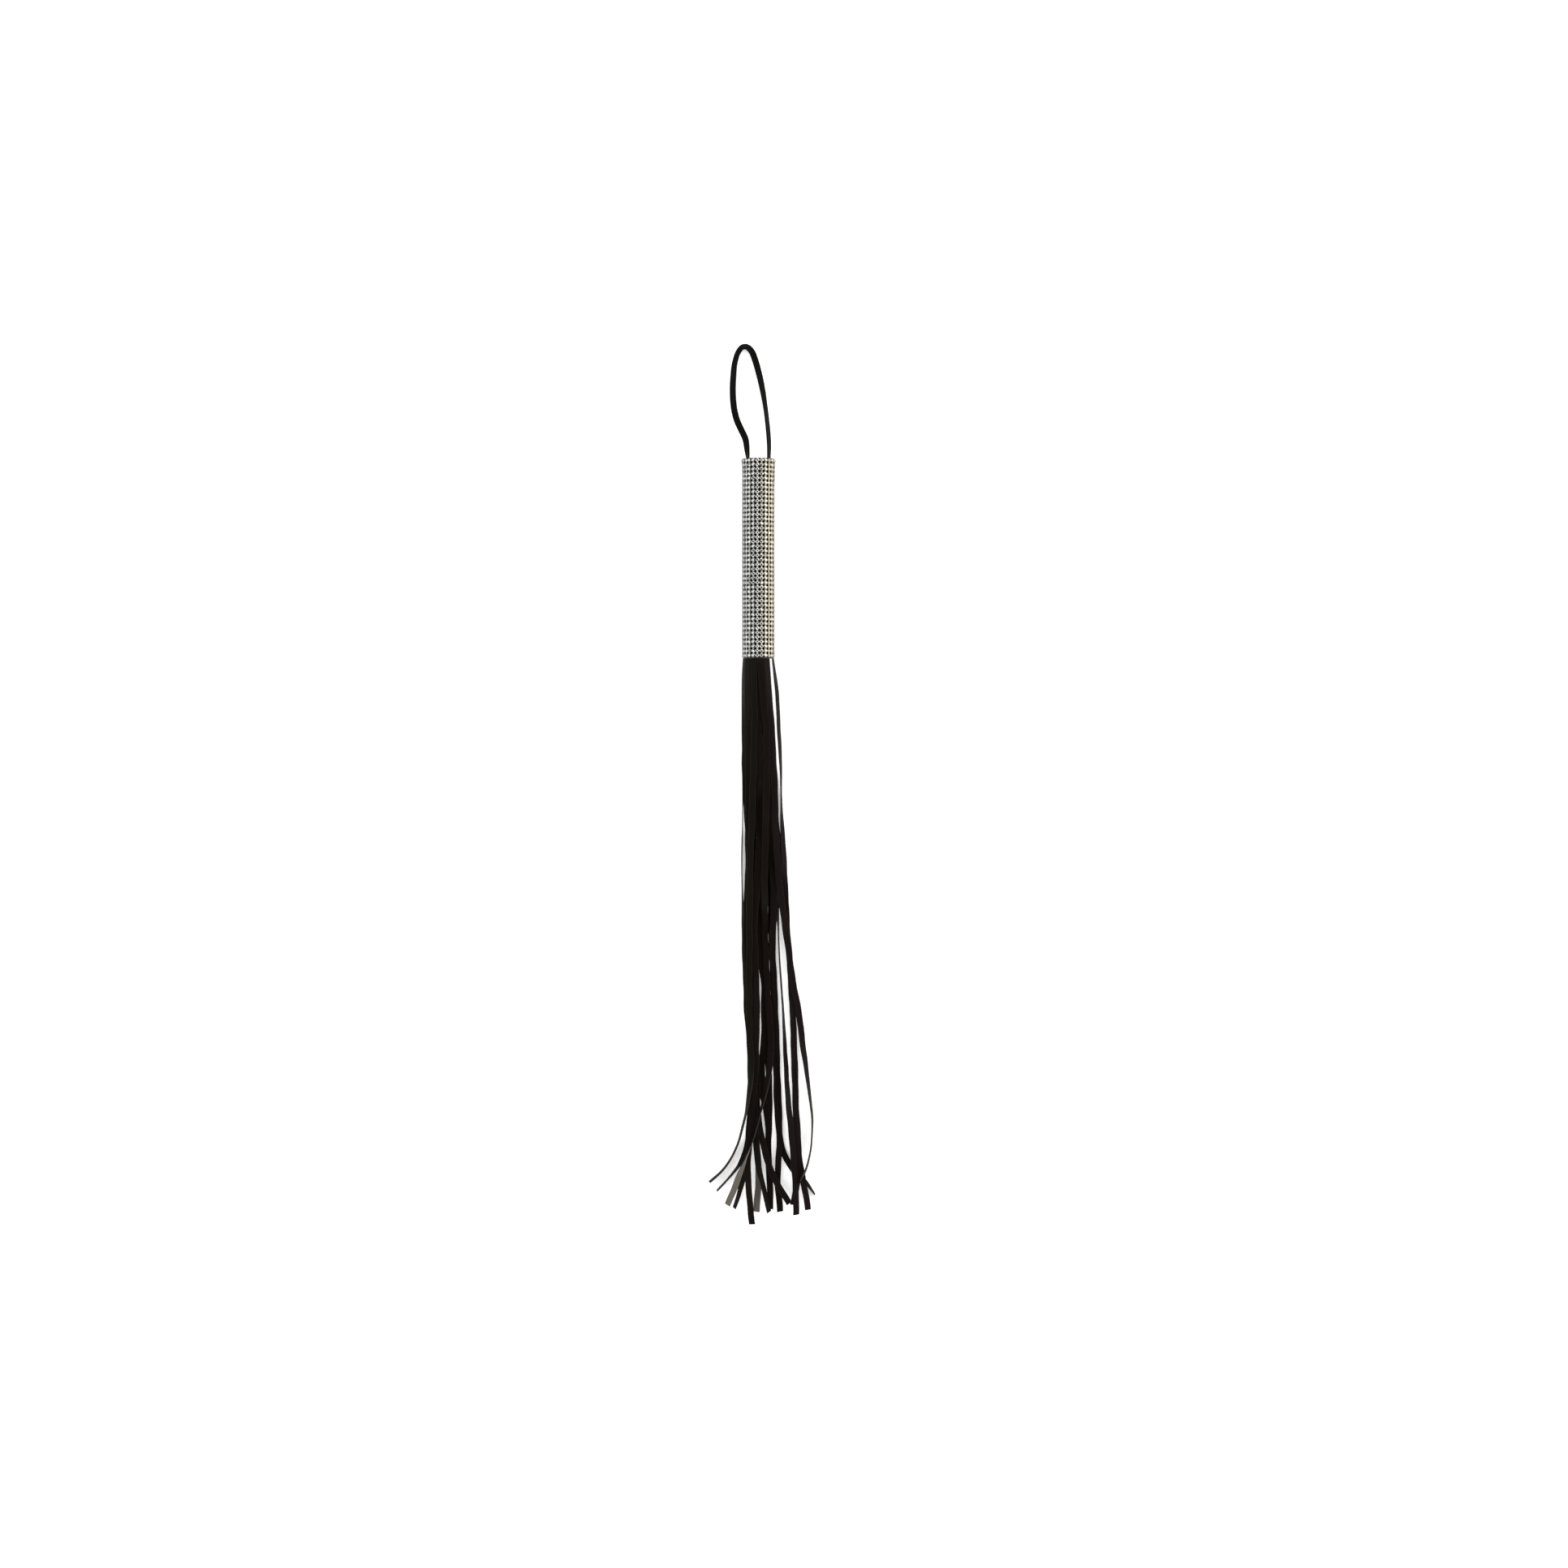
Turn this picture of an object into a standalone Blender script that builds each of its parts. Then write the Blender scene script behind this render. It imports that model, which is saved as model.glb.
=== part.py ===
"""Tail whip with a stone-covered handle, lying at rest on a flat surface.

Metres, +Z up. The handle lies along Y: its tails leave it towards -Y, its wrist loop towards +Y.
Routes are written in millimetres in the handle's own frame, whose origin is on the surface, below
the end of the handle that the tails leave. The finished whip is then moved so that the middle of
its box stands over the world's origin.

Run with: blender --background --python part.py
"""

import math

import bmesh
import bpy
import numpy as np
from mathutils import Matrix, Vector

MM = 0.001
GAP = 0.3 * MM
MERGE_DISTANCE = 0.005 * MM

# Handle
SLEEVE_RADIUS = 13.4 * MM
SLEEVE_WALL = 0.65 * MM
HANDLE_LENGTH = 160 * MM
AXIS_HEIGHT = SLEEVE_RADIUS
CORE_RADIUS = 9.9 * MM
CORE_NECK_RADIUS = 8.3 * MM
CORE_NECK_LENGTH = 27 * MM
CORE_INSET = 0.8 * MM
CAP_RADIUS = 8.0 * MM
CAP_THICKNESS = 2.0 * MM
WRAP_OUTER_RADIUS = 12.4 * MM
WRAP_INNER_RADIUS = 10.2 * MM
WRAP_NECK_INNER_RADIUS = 11.0 * MM
WRAP_INSET = 0.6 * MM
ROUND_STEPS = 48

# Tail bands: the uncut edges of the two fringes, rolled round the core
TAIL_WIDTH = 5.0 * MM
TAIL_THICKNESS = 0.8 * MM
BAND_LENGTH = 24 * MM
BAND_END = 0.6 * MM
INNER_RING = 10.6 * MM
OUTER_RING = 12.0 * MM
INNER_BAND_ARC = (-86.0, 56.0)
OUTER_BAND_ARC = (-215.0, 90.0)
BAND_TACK_ANGLES = (-60.0, 0.0)
BAND_TACK_DISTANCE = 12 * MM

# Wrist loop
LOOP_WIDTH = 5.2 * MM
LOOP_THICKNESS = 1.2 * MM
LOOP_RING = 9.25 * MM
LOOP_END_ANGLE = 66.0
LOOP_TUCK = 25 * MM
LOOP_TACK_DISTANCE = 12 * MM

# Tacks
TACK_SHANK_RADIUS = 0.6 * MM
TACK_HEAD_RADIUS = 1.7 * MM
TACK_HEAD_THICKNESS = 0.4 * MM
TACK_DEPTH = 5 * MM
TACK_STEPS = 12

# How the tails lie
PLAN_SAMPLES = 400
TAIL_STATIONS = 36
ROOT_STATIONS = (0, 4, 10, 18, 28, 40)
TAIL_SAMPLES = 12
ACROSS_SAMPLES = 31
TAIL_ROOT_DISTANCE = BAND_END + GAP
TAIL_GAP = 0.36 * MM
FLOOR_GAP = 0.03 * MM
LANDING_BASE = 70 * MM
LANDING_PER_HEIGHT = 2.5
GRID_X = (-60 * MM, 70 * MM)
GRID_CELL = 0.25 * MM
GRID_ROW = 1.0 * MM
GRID_MARGIN = 2

# Each tail, lowest first: name, ring radius, angle round the handle from the top towards +X,
# route as (distance from the handle, x) and twist as (distance from the handle, degrees).
# Twist 0 is the grained face up, 90 is on edge with that face towards +X, and 180 is that face down.
TAILS = [
    (
        "tail_01", OUTER_RING, -175,
        [(0, -1), (25, 0.5), (71, 3.5), (123, 7), (189, 9.7), (225, 10.5), (254, 11.7), (319, 14), (365, 15.5),
         (391, 18.5), (409, 26.5), (420, 37), (431, 45.5)],
        [(0, -175), (40, -120), (85, -20), (120, 0), (412, 0), (424, -70), (431, -78)],
    ),
    (
        "tail_02", OUTER_RING, 159,
        [(0, 4), (39, 6), (84, 10), (123, 13.5), (169, 17.5), (234, 24.5), (293, 28), (340, 29.7),
         (358, 30.2), (411, 32), (425, 30.5), (439, 28)],
        [(0, 159), (45, 100), (95, 20), (150, 0), (439, 8)],
    ),
    (
        "tail_03", OUTER_RING, -149,
        [(0, -6), (45, -4), (97, -1), (156, 2.5), (215, 5), (267, 6), (313, 7.5), (378, 8.5),
         (392, 7.5), (417, 9), (443, 9.5)],
        [(0, -149), (45, -95), (110, -15), (150, 0), (443, 0)],
    ),
    (
        "tail_04", OUTER_RING, -123,
        [(0, -10), (45, -11), (90, -10.5), (128, -8.5), (156, -8.2), (180, -8.2), (205, -9),
         (250, -8.5), (287, -8), (345, -6.2), (385, -8), (409, -10.5), (430, -15.5), (442, -19.5)],
        [(0, -123), (58, -60), (123, -10), (160, 0), (412, 0), (426, -50), (442, -62)],
    ),
    (
        "tail_05", OUTER_RING, -97,
        [(0, -12), (12, -12.6), (39, -13), (78, -12.8), (123, -12.6), (163, -13.5), (195, -12.8),
         (234, -11.2), (254, -10.2), (287, -8.9), (306, -7), (335, -5.8), (365, -6.6), (388, -8.5),
         (401, -12), (416, -22.5), (428, -33.5)],
        [(0, -97), (190, -85), (222, -50), (254, -12), (300, 0), (396, 0), (410, -76), (428, -81)],
    ),
    (
        "tail_06", OUTER_RING, 77,
        [(0, 11.7), (7, 12.6), (27, 15), (58, 16.5), (84, 18), (114, 18.5), (172, 21), (215, 23),
         (254, 26), (293, 28), (345, 29.5), (398, 32.5), (428, 37.5), (443, 40)],
        [(0, 77), (25, 58), (58, 58), (91, 72), (114, 84), (140, 50), (172, 15), (200, 0),
         (443, 0)],
    ),
    (
        "tail_07", INNER_RING, -72,
        [(0, -10), (40, -8), (90, -3), (140, 1), (175, 1.8), (205, 1.3), (230, 1.3), (246, 2.5),
         (262, 4.8), (280, 4.2), (300, 5), (322, 2.8), (340, 3), (355, 4), (367, 7), (385, 8), (404, 8.3), (428, 9.2)],
        [(0, -72), (58, -35), (110, 0), (428, 0)],
    ),
    (
        "tail_08", OUTER_RING, -71,
        [(0, -11.3), (25, -11.6), (78, -11), (115, -9.8), (135, -8.3), (175, -8.3), (200, -9.5),
         (247, -8.8), (300, -6.6), (345, -4), (378, -2), (398, -0.5), (417, 0), (445, -1.5)],
        [(0, -71), (30, -71), (85, -15), (115, 0), (335, 0), (390, -180), (445, -180)],
    ),
    (
        "tail_09", INNER_RING, 42,
        [(0, 7), (25, 8.5), (71, 10), (123, 11), (169, 12.5), (205, 15.5), (241, 17), (277, 19.5),
         (319, 21.8), (345, 23.2), (365, 25), (417, 29.5), (447, 30.5)],
        [(0, 42), (58, 20), (123, 5), (190, 30), (210, 84), (274, 80), (306, 60), (345, 42),
         (372, 12), (447, 0)],
    ),
    (
        "tail_10", INNER_RING, 13.5,
        [(0, 2.5), (32, 4), (97, 8), (163, 11), (189, 12.5), (231, 11.5), (280, 13.5),
         (339, 15.5), (388, 17), (417, 15.5), (445, 17.5)],
        [(0, 13.5), (58, 5), (445, 0)],
    ),
    (
        "tail_11", INNER_RING, -43.5,
        [(0, -7.3), (45, -7), (97, -5.5), (130, -4.1), (156, -3.9), (208, -3.5), (254, -2.5), (332, -1.5),
         (362, -0.5), (379, 1.5), (395, 5), (420, 14), (438, 25)],
        [(0, -43.5), (58, -15), (123, 0), (438, 0)],
    ),
    (
        "tail_12", OUTER_RING, -45,
        [(0, -8.5), (32, -8.5), (78, -8), (123, -8), (176, -7.5), (228, -7), (280, -5.5),
         (326, -4), (385, -2), (404, -0.5), (429, 5), (445, 8.5)],
        [(0, -45), (58, -15), (110, 0), (400, 0), (424, 45), (445, 50)],
    ),
    (
        "tail_13", INNER_RING, -15,
        [(0, -2.7), (32, -0.7), (65, 0.8), (97, 1.9), (130, 1.5), (163, 0), (195, -2),
         (218, -3.5), (241, -2.5), (264, -1.5), (319, -2), (366, -5), (411, -8.5), (436, -7),
         (455, -5)],
        [(0, -15), (45, 0), (455, 0)],
    ),
    (
        "tail_14", OUTER_RING, 33,
        [(0, 6.5), (19, 8), (45, 10), (97, 13), (156, 15), (182, 17), (218, 22), (254, 27),
         (285, 32.5), (308, 35.5), (345, 40.5), (372, 43.5), (385, 43), (405, 40), (420, 34)],
        [(0, 33), (45, 15), (97, 5), (287, 0), (313, 25), (332, 50), (349, 68), (362, 77),
         (420, 77)],
    ),
    (
        "tail_15", OUTER_RING, -19,
        [(0, -3.9), (25, -3.4), (58, -3.2), (91, -4), (123, -5), (163, -6.5), (202, -7),
         (274, -7.3), (306, -6.9), (332, -6), (351, -7.8), (377, -13), (398, -20), (412, -29.5),
         (421, -39.5)],
        [(0, -19), (32, -5), (58, 0), (319, 0), (345, -40), (362, -75), (421, -77)],
    ),
    (
        "tail_16", OUTER_RING, 7,
        [(0, 1.5), (19, 3), (45, 5.5), (78, 7), (110, 6.5), (150, 5.5), (189, 5), (221, 5.5),
         (277, 8), (303, 10), (318, 10), (334, 8), (361, 2.5), (387, -4.5), (407, -12.5),
         (426, -19.5), (439, -25)],
        [(0, 7), (58, 0), (313, 0), (339, -40), (361, -78), (390, -90), (402, -108),
         (412, -140), (423, -172), (439, -180)],
    ),
]

# The wrist loop, from its left end round to its right end: (x, distance beyond the handle,
# height, lean), with lean 90 on edge and 0 flat, the grained face always outwards.
LOOP_ROUTE = [
    (-8.45, 0.6, 17.16, 66), (-9.1, 7, 15.0, 40), (-10.4, 16, 10.6, 16), (-13.9, 24, 6.6, 10),
    (-17.4, 32, 3.6, 12), (-19.4, 40, 1.8, 16), (-20.6, 52, 1.3, 18), (-20.3, 66, 1.6, 24),
    (-18.6, 80, 2.2, 36), (-15.8, 87.5, 2.3, 36), (-12.4, 91, 2.1, 33), (-9.2, 90.9, 1.8, 26),
    (-5.6, 87.5, 1.4, 14), (-2.7, 80.5, 1.3, 12), (0.8, 68, 1.6, 22), (3.3, 56.5, 2.2, 36),
    (5.3, 44.5, 3.4, 50), (6.8, 33, 5.6, 53), (8.0, 21, 9.6, 52), (8.6, 9, 14.4, 58),
    (8.45, 0.6, 17.16, 66),
]
LOOP_STATIONS = 56

COLOURS = {
    "stones": ((0.72, 0.70, 0.66), 0.18, 0.9),
    "black_cloth": ((0.012, 0.012, 0.013), 0.8, 0.0),
    "black_leatherette": ((0.018, 0.017, 0.016), 0.42, 0.0),
    "band_leatherette": ((0.03, 0.027, 0.025), 0.6, 0.0),
    "wood": ((0.45, 0.29, 0.16), 0.6, 0.0),
    "cap_leather": ((0.02, 0.018, 0.017), 0.5, 0.0),
    "tack_steel": ((0.55, 0.54, 0.52), 0.3, 1.0),
}


def clear_scene():
    for obj in list(bpy.data.objects):
        bpy.data.objects.remove(obj, do_unlink=True)


def make_collection(name):
    collection = bpy.data.collections.new(name)
    bpy.context.scene.collection.children.link(collection)
    return collection


def make_material(name):
    colour, roughness, metallic = COLOURS[name]
    material = bpy.data.materials.new(name)
    material.use_nodes = True
    shader = material.node_tree.nodes["Principled BSDF"]
    shader.inputs["Base Color"].default_value = (*colour, 1)
    shader.inputs["Roughness"].default_value = roughness
    shader.inputs["Metallic"].default_value = metallic
    return material


def add_part(name, mesh, slot, location=(0, 0, 0)):
    """One named sub-part, with a material of its own, under the whip's empty."""
    obj = bpy.data.objects.new(name, mesh)
    material = make_material(slot)
    material.name = f"{name}_{slot}"
    mesh.materials.append(material)
    PARTS.objects.link(obj)
    obj.parent = WHIP
    obj.location = location
    return obj


def turned_part(name, outline, slot, arc=(0.0, 360.0), closed=False, solidify=None):
    """A part turned round the handle's axis, from its outline of (radius, y).

    arc is the stretch of angle that it covers, from the top of the handle towards +X.
    """
    mesh = bpy.data.meshes.new(name)
    low, high = (math.radians(side) for side in arc)
    points = [(r * math.sin(low), y, r * math.cos(low)) for r, y in outline]
    edges = [(i, i + 1) for i in range(len(points) - 1)]
    if closed:
        edges.append((len(points) - 1, 0))
    mesh.from_pydata(points, edges, [])
    obj = add_part(name, mesh, slot, (0, 0, AXIS_HEIGHT))
    screw = obj.modifiers.new("Turn", "SCREW")
    screw.axis = "Y"
    screw.angle = high - low
    screw.steps = max(8, round(ROUND_STEPS * (high - low) / math.tau))
    screw.render_steps = screw.steps
    full = arc[1] - arc[0] >= 360
    screw.use_merge_vertices = full
    screw.merge_threshold = MERGE_DISTANCE
    screw.use_smooth_shade = True
    if solidify:
        shell = obj.modifiers.new("Thickness", "SOLIDIFY")
        shell.thickness = solidify
        shell.offset = 0
        shell.use_even_offset = True
    return obj


def apply_modifiers(obj):
    """The object's mesh as its modifiers leave it, with doubles merged and normals outward."""
    graph = bpy.context.evaluated_depsgraph_get()
    mesh = bpy.data.meshes.new_from_object(obj.evaluated_get(graph))
    obj.modifiers.clear()
    form = bmesh.new()
    form.from_mesh(mesh)
    bmesh.ops.remove_doubles(form, verts=form.verts, dist=MERGE_DISTANCE)
    bmesh.ops.recalc_face_normals(form, faces=form.faces)
    form.to_mesh(mesh)
    form.free()
    obj.data = mesh


def cylinder_mesh(name, radius, length, segments):
    """A cylinder from the origin along +Z."""
    mesh = bpy.data.meshes.new(name)
    form = bmesh.new()
    bmesh.ops.create_cone(
        form, cap_ends=True, segments=segments, radius1=radius, radius2=radius, depth=length,
        matrix=Matrix.Translation((0, 0, length / 2)),
    )
    form.to_mesh(mesh)
    form.free()
    return mesh


def radial_frame(angle, y, radius):
    """A frame on the handle's side, with +Y along it and +Z outwards, as one matrix."""
    turn = Matrix.Rotation(math.radians(angle), 4, "Y")
    return Matrix.Translation((0, y, AXIS_HEIGHT)) @ turn @ Matrix.Translation((0, 0, radius))


def drill(obj, angle, y, radius, low, high):
    """Drills a radial hole into a part, between two distances from the handle's axis."""
    mesh = cylinder_mesh(f"cutter_{obj.name}", radius, high - low, TACK_STEPS)
    cutter = bpy.data.objects.new(mesh.name, mesh)
    CUTTERS.objects.link(cutter)
    cutter.parent = WHIP
    cutter.matrix_basis = radial_frame(angle, y, low)
    cutter.hide_render = True
    cutter.display_type = "WIRE"
    cut = obj.modifiers.new("Hole", "BOOLEAN")
    cut.operation = "DIFFERENCE"
    cut.object = cutter


def add_tack(name, angle, y, surface):
    """A tack driven inwards, whose head sits at this distance from the handle's axis."""
    mesh = bpy.data.meshes.new(name)
    shank_end = -TACK_DEPTH
    outline = [
        (0, TACK_HEAD_THICKNESS), (TACK_HEAD_RADIUS * 0.6, TACK_HEAD_THICKNESS),
        (TACK_HEAD_RADIUS, TACK_HEAD_THICKNESS * 0.5), (TACK_HEAD_RADIUS, 0),
        (TACK_SHANK_RADIUS, 0), (TACK_SHANK_RADIUS, shank_end + TACK_SHANK_RADIUS * 2),
        (0, shank_end),
    ]
    mesh.from_pydata(
        [(r, 0, z) for r, z in outline], [(i, i + 1) for i in range(len(outline) - 1)], []
    )
    obj = add_part(name, mesh, "tack_steel")
    obj.matrix_basis = radial_frame(angle, y, surface)
    screw = obj.modifiers.new("Turn", "SCREW")
    screw.steps = TACK_STEPS
    screw.render_steps = TACK_STEPS
    screw.use_merge_vertices = True
    screw.merge_threshold = MERGE_DISTANCE
    screw.use_smooth_shade = True
    return obj


def smooth_curve(points, at):
    """A smooth curve through points of (parameter, value), read at these parameters.

    Between two points it is the cubic whose slopes at the points are the mean slopes beside them.
    """
    x, y = np.array(points, float).T
    steps = np.diff(x)
    slopes = np.diff(y) / steps
    inner = (slopes[:-1] * steps[1:] + slopes[1:] * steps[:-1]) / (steps[:-1] + steps[1:])
    ends = np.concatenate([[slopes[0]], inner, [slopes[-1]]])
    i = np.clip(np.searchsorted(x, at, side="right") - 1, 0, len(steps) - 1)
    t = (at - x[i]) / steps[i]
    return (
        (2 * t**3 - 3 * t**2 + 1) * y[i]
        + (t**3 - 2 * t**2 + t) * steps[i] * ends[i]
        + (3 * t**2 - 2 * t**3) * y[i + 1]
        + (t**3 - t**2) * steps[i] * ends[i + 1]
    )


def stations_along(path, count):
    """Places along a path for its stations: close together near the root, then evenly spaced."""
    run = np.concatenate([[0], np.cumsum(np.linalg.norm(np.diff(path, axis=0), axis=1))])
    first = np.array(ROOT_STATIONS) * MM
    rest = np.linspace(first[-1], run[-1], count - len(first) + 1)[1:]
    return np.interp(np.concatenate([first, rest]), run, np.arange(len(path)))


def section_axes(tangent, twist):
    """The strap's width and face directions, from its direction in plan and its twist."""
    flat = tangent * (1, 1, 0)
    flat = flat / np.linalg.norm(flat, axis=1)[:, None]
    side = np.cross((0, 0, 1), flat)
    up = np.array((0, 0, 1.0))
    turn = np.radians(twist)[:, None]
    width = np.cos(turn) * side - np.sin(turn) * up
    face = np.cos(turn) * up + np.sin(turn) * side
    return width, face


def tail_plan(radius, angle, route, twist):
    """A tail's stations in plan: their points at the root's height, width and face directions."""
    root_x = radius * math.sin(math.radians(angle))
    root_z = AXIS_HEIGHT + radius * math.cos(math.radians(angle))
    route = [(0, root_x / MM), *route[1:]]
    distance = np.linspace(0, route[-1][0], PLAN_SAMPLES)
    x = smooth_curve(route, distance)
    path = np.column_stack([x * MM, -TAIL_ROOT_DISTANCE - distance * MM])
    at = stations_along(path, TAIL_STATIONS)
    distance = np.interp(at, np.arange(PLAN_SAMPLES), distance)
    x = smooth_curve(route, distance)
    turn = np.interp(distance, *np.array(twist, float).T)
    points = np.column_stack(
        [x * MM, -TAIL_ROOT_DISTANCE - distance * MM, np.full(len(x), root_z)]
    )
    tangent = np.gradient(points, axis=0)
    tangent[0] = (0, -1, 0)
    width, face = section_axes(tangent, turn)
    return points, width, face


class Pile:
    """The height of what lies on the surface, on a grid of cells, as tails are laid on it."""

    def __init__(self, length):
        across = round((GRID_X[1] - GRID_X[0]) / GRID_CELL)
        self.height = np.zeros((across, round(length / GRID_ROW) + 4 * GRID_MARGIN))

    def cells(self, points):
        i = ((points[..., 0] - GRID_X[0]) / GRID_CELL).astype(int)
        j = (-points[..., 1] / GRID_ROW).astype(int) + GRID_MARGIN
        i = np.clip(i, 0, self.height.shape[0] - 1)
        return i, np.clip(j, 0, self.height.shape[1] - 1)

    def spread(self):
        """The heights with each cell raised to its highest neighbour."""
        out = self.height.copy()
        for axis in (0, 1):
            grown = out.copy()
            for shift in (-1, 1):
                grown = np.maximum(grown, np.roll(out, shift, axis))
            out = grown
        return out

    def lay(self, points, width, face):
        """Heights for a tail's stations, so that it lies on the pile; it then joins the pile."""
        samples = np.linspace(0, len(points) - 1, (len(points) - 1) * TAIL_SAMPLES + 1)
        index = np.arange(len(points))

        def between(values):
            return np.column_stack([np.interp(samples, index, v) for v in values.T])

        fine, fine_width, fine_face = between(points), between(width), between(face)
        across = np.linspace(-0.5, 0.5, ACROSS_SAMPLES)[None, :, None] * TAIL_WIDTH
        middle = across * fine_width[:, None, :]
        faces = [side * fine_face[:, None, :] * TAIL_THICKNESS / 2 for side in (-1, 1)]
        skin = np.stack([middle + f for f in faces], axis=2)
        at = fine[:, None, None, :] + skin
        i, j = self.cells(at)
        pile = self.spread()[i, j]
        gap = np.where(pile > 0, TAIL_GAP, FLOOR_GAP)
        needed = (pile + gap - skin[..., 2]).max(axis=(1, 2))

        natural = self.natural_height(fine)
        wanted = np.maximum(needed, natural)
        owner = np.abs(samples[:, None] - index[None, :]) <= 1
        rest = np.where(owner, wanted[:, None], -1).max(axis=0)
        padded = np.concatenate([rest[:1], rest, rest[-1:]])
        widest = np.maximum(np.maximum(padded[:-2], padded[1:-1]), padded[2:])
        padded = np.concatenate([widest[:1], widest, widest[-1:]])
        heights = (padded[:-2] + 2 * padded[1:-1] + padded[2:]) / 4
        heights[0] = points[0, 2]
        heights[1] = max(rest[1], natural[TAIL_SAMPLES])

        placed = points.copy()
        placed[:, 2] = heights
        top = np.interp(samples, index, heights)[:, None, None] + skin[..., 2]
        np.maximum.at(self.height, (i, j), top)
        return placed

    @staticmethod
    def natural_height(fine):
        """How a tail would come down from its root with nothing under it: an S curve."""
        root = fine[0, 2]
        landing = LANDING_BASE + LANDING_PER_HEIGHT * root
        t = np.clip((-fine[:, 1] - TAIL_ROOT_DISTANCE) / landing, 0, 1)
        return root * (1 - t**3 * (10 - 15 * t + 6 * t**2))


def ribbon_part(name, points, width_axis, width, thickness, slot, hinge):
    """A flat strap: an open strip along the points, thickened on both sides.

    Its origin is on its hinge.
    """
    half = width_axis * width / 2
    strip = np.stack([points - half, points + half], axis=1).reshape(-1, 3) - hinge
    faces = [(2 * i, 2 * i + 1, 2 * i + 3, 2 * i + 2) for i in range(len(points) - 1)]
    mesh = bpy.data.meshes.new(name)
    mesh.from_pydata(strip.tolist(), [], faces)
    obj = add_part(name, mesh, slot, tuple(hinge))
    shell = obj.modifiers.new("Thickness", "SOLIDIFY")
    shell.thickness = thickness
    shell.offset = 0
    return obj


def highest_of_section(point, width_axis, face_axis, width, thickness):
    """The point of a strap's end section about which the strap can lift without digging in."""
    rise = abs(width_axis[2]) * width / 2 + abs(face_axis[2]) * thickness / 2
    return point + np.array((0, 0, rise))


def build_handle():
    butt = HANDLE_LENGTH
    core = turned_part(
        "handle_core",
        [
            (0, butt - CORE_INSET - CAP_THICKNESS),
            (CORE_NECK_RADIUS, butt - CORE_INSET - CAP_THICKNESS),
            (CORE_NECK_RADIUS, butt - CORE_NECK_LENGTH),
            (CORE_RADIUS, butt - CORE_NECK_LENGTH),
            (CORE_RADIUS, CORE_INSET),
            (0, CORE_INSET),
        ],
        "wood",
    )
    wrap_start = BAND_LENGTH + GAP
    wrap_step = butt - CORE_NECK_LENGTH - GAP
    wrap = turned_part(
        "grip_wrap",
        [
            (WRAP_OUTER_RADIUS, butt - WRAP_INSET),
            (WRAP_OUTER_RADIUS, wrap_start),
            (WRAP_INNER_RADIUS, wrap_start),
            (WRAP_INNER_RADIUS, wrap_step),
            (WRAP_NECK_INNER_RADIUS, wrap_step),
            (WRAP_NECK_INNER_RADIUS, butt - WRAP_INSET),
        ],
        "black_cloth",
        closed=True,
    )
    sleeve = turned_part(
        "stone_sleeve",
        [
            (SLEEVE_RADIUS, butt),
            (SLEEVE_RADIUS, 0),
            (SLEEVE_RADIUS - SLEEVE_WALL, 0),
            (SLEEVE_RADIUS - SLEEVE_WALL, butt),
        ],
        "stones",
        closed=True,
    )
    cap = turned_part(
        "butt_cap",
        [
            (0, butt),
            (CAP_RADIUS - GAP, butt),
            (CAP_RADIUS, butt - GAP),
            (CAP_RADIUS, butt - CAP_THICKNESS),
            (0, butt - CAP_THICKNESS),
        ],
        "cap_leather",
    )
    for obj in (core, wrap, sleeve, cap):
        apply_modifiers(obj)
    return core


def build_bands(core):
    """The fringes' uncut bands on the core, and the tacks that hold them."""
    bands = {}
    for name, radius, arc in (
        ("inner_fringe_band", INNER_RING, INNER_BAND_ARC),
        ("outer_fringe_band", OUTER_RING, OUTER_BAND_ARC),
    ):
        bands[name] = turned_part(
            name, [(radius, BAND_LENGTH), (radius, -BAND_END)], "band_leatherette", arc,
            solidify=TAIL_THICKNESS,
        )
        apply_modifiers(bands[name])
    seat = INNER_RING + TAIL_THICKNESS / 2 + GAP
    for number, angle in enumerate(BAND_TACK_ANGLES, 1):
        add_tack(f"band_tack_{number}", angle, BAND_TACK_DISTANCE, seat)
        reach = seat - TACK_DEPTH - GAP
        drill(core, angle, BAND_TACK_DISTANCE, TACK_SHANK_RADIUS + GAP, reach, CORE_RADIUS + GAP)
        drill(
            bands["inner_fringe_band"], angle, BAND_TACK_DISTANCE, TACK_SHANK_RADIUS + GAP,
            CORE_RADIUS, seat,
        )
        drill(
            bands["outer_fringe_band"], angle, BAND_TACK_DISTANCE, TACK_HEAD_RADIUS + GAP,
            seat, WRAP_OUTER_RADIUS + GAP,
        )


def build_tails():
    """Lays the tails on the surface from the lowest to the highest."""
    pile = Pile(max(route[-1][0] for _, _, _, route, _ in TAILS) * MM)
    for name, radius, angle, route, twist in TAILS:
        points, width, face = tail_plan(radius, angle, route, twist)
        points = pile.lay(points, width, face)
        hinge = highest_of_section(points[0], width[0], face[0], TAIL_WIDTH, TAIL_THICKNESS)
        ribbon_part(name, points, width, TAIL_WIDTH, TAIL_THICKNESS, "black_leatherette", hinge)


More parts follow.
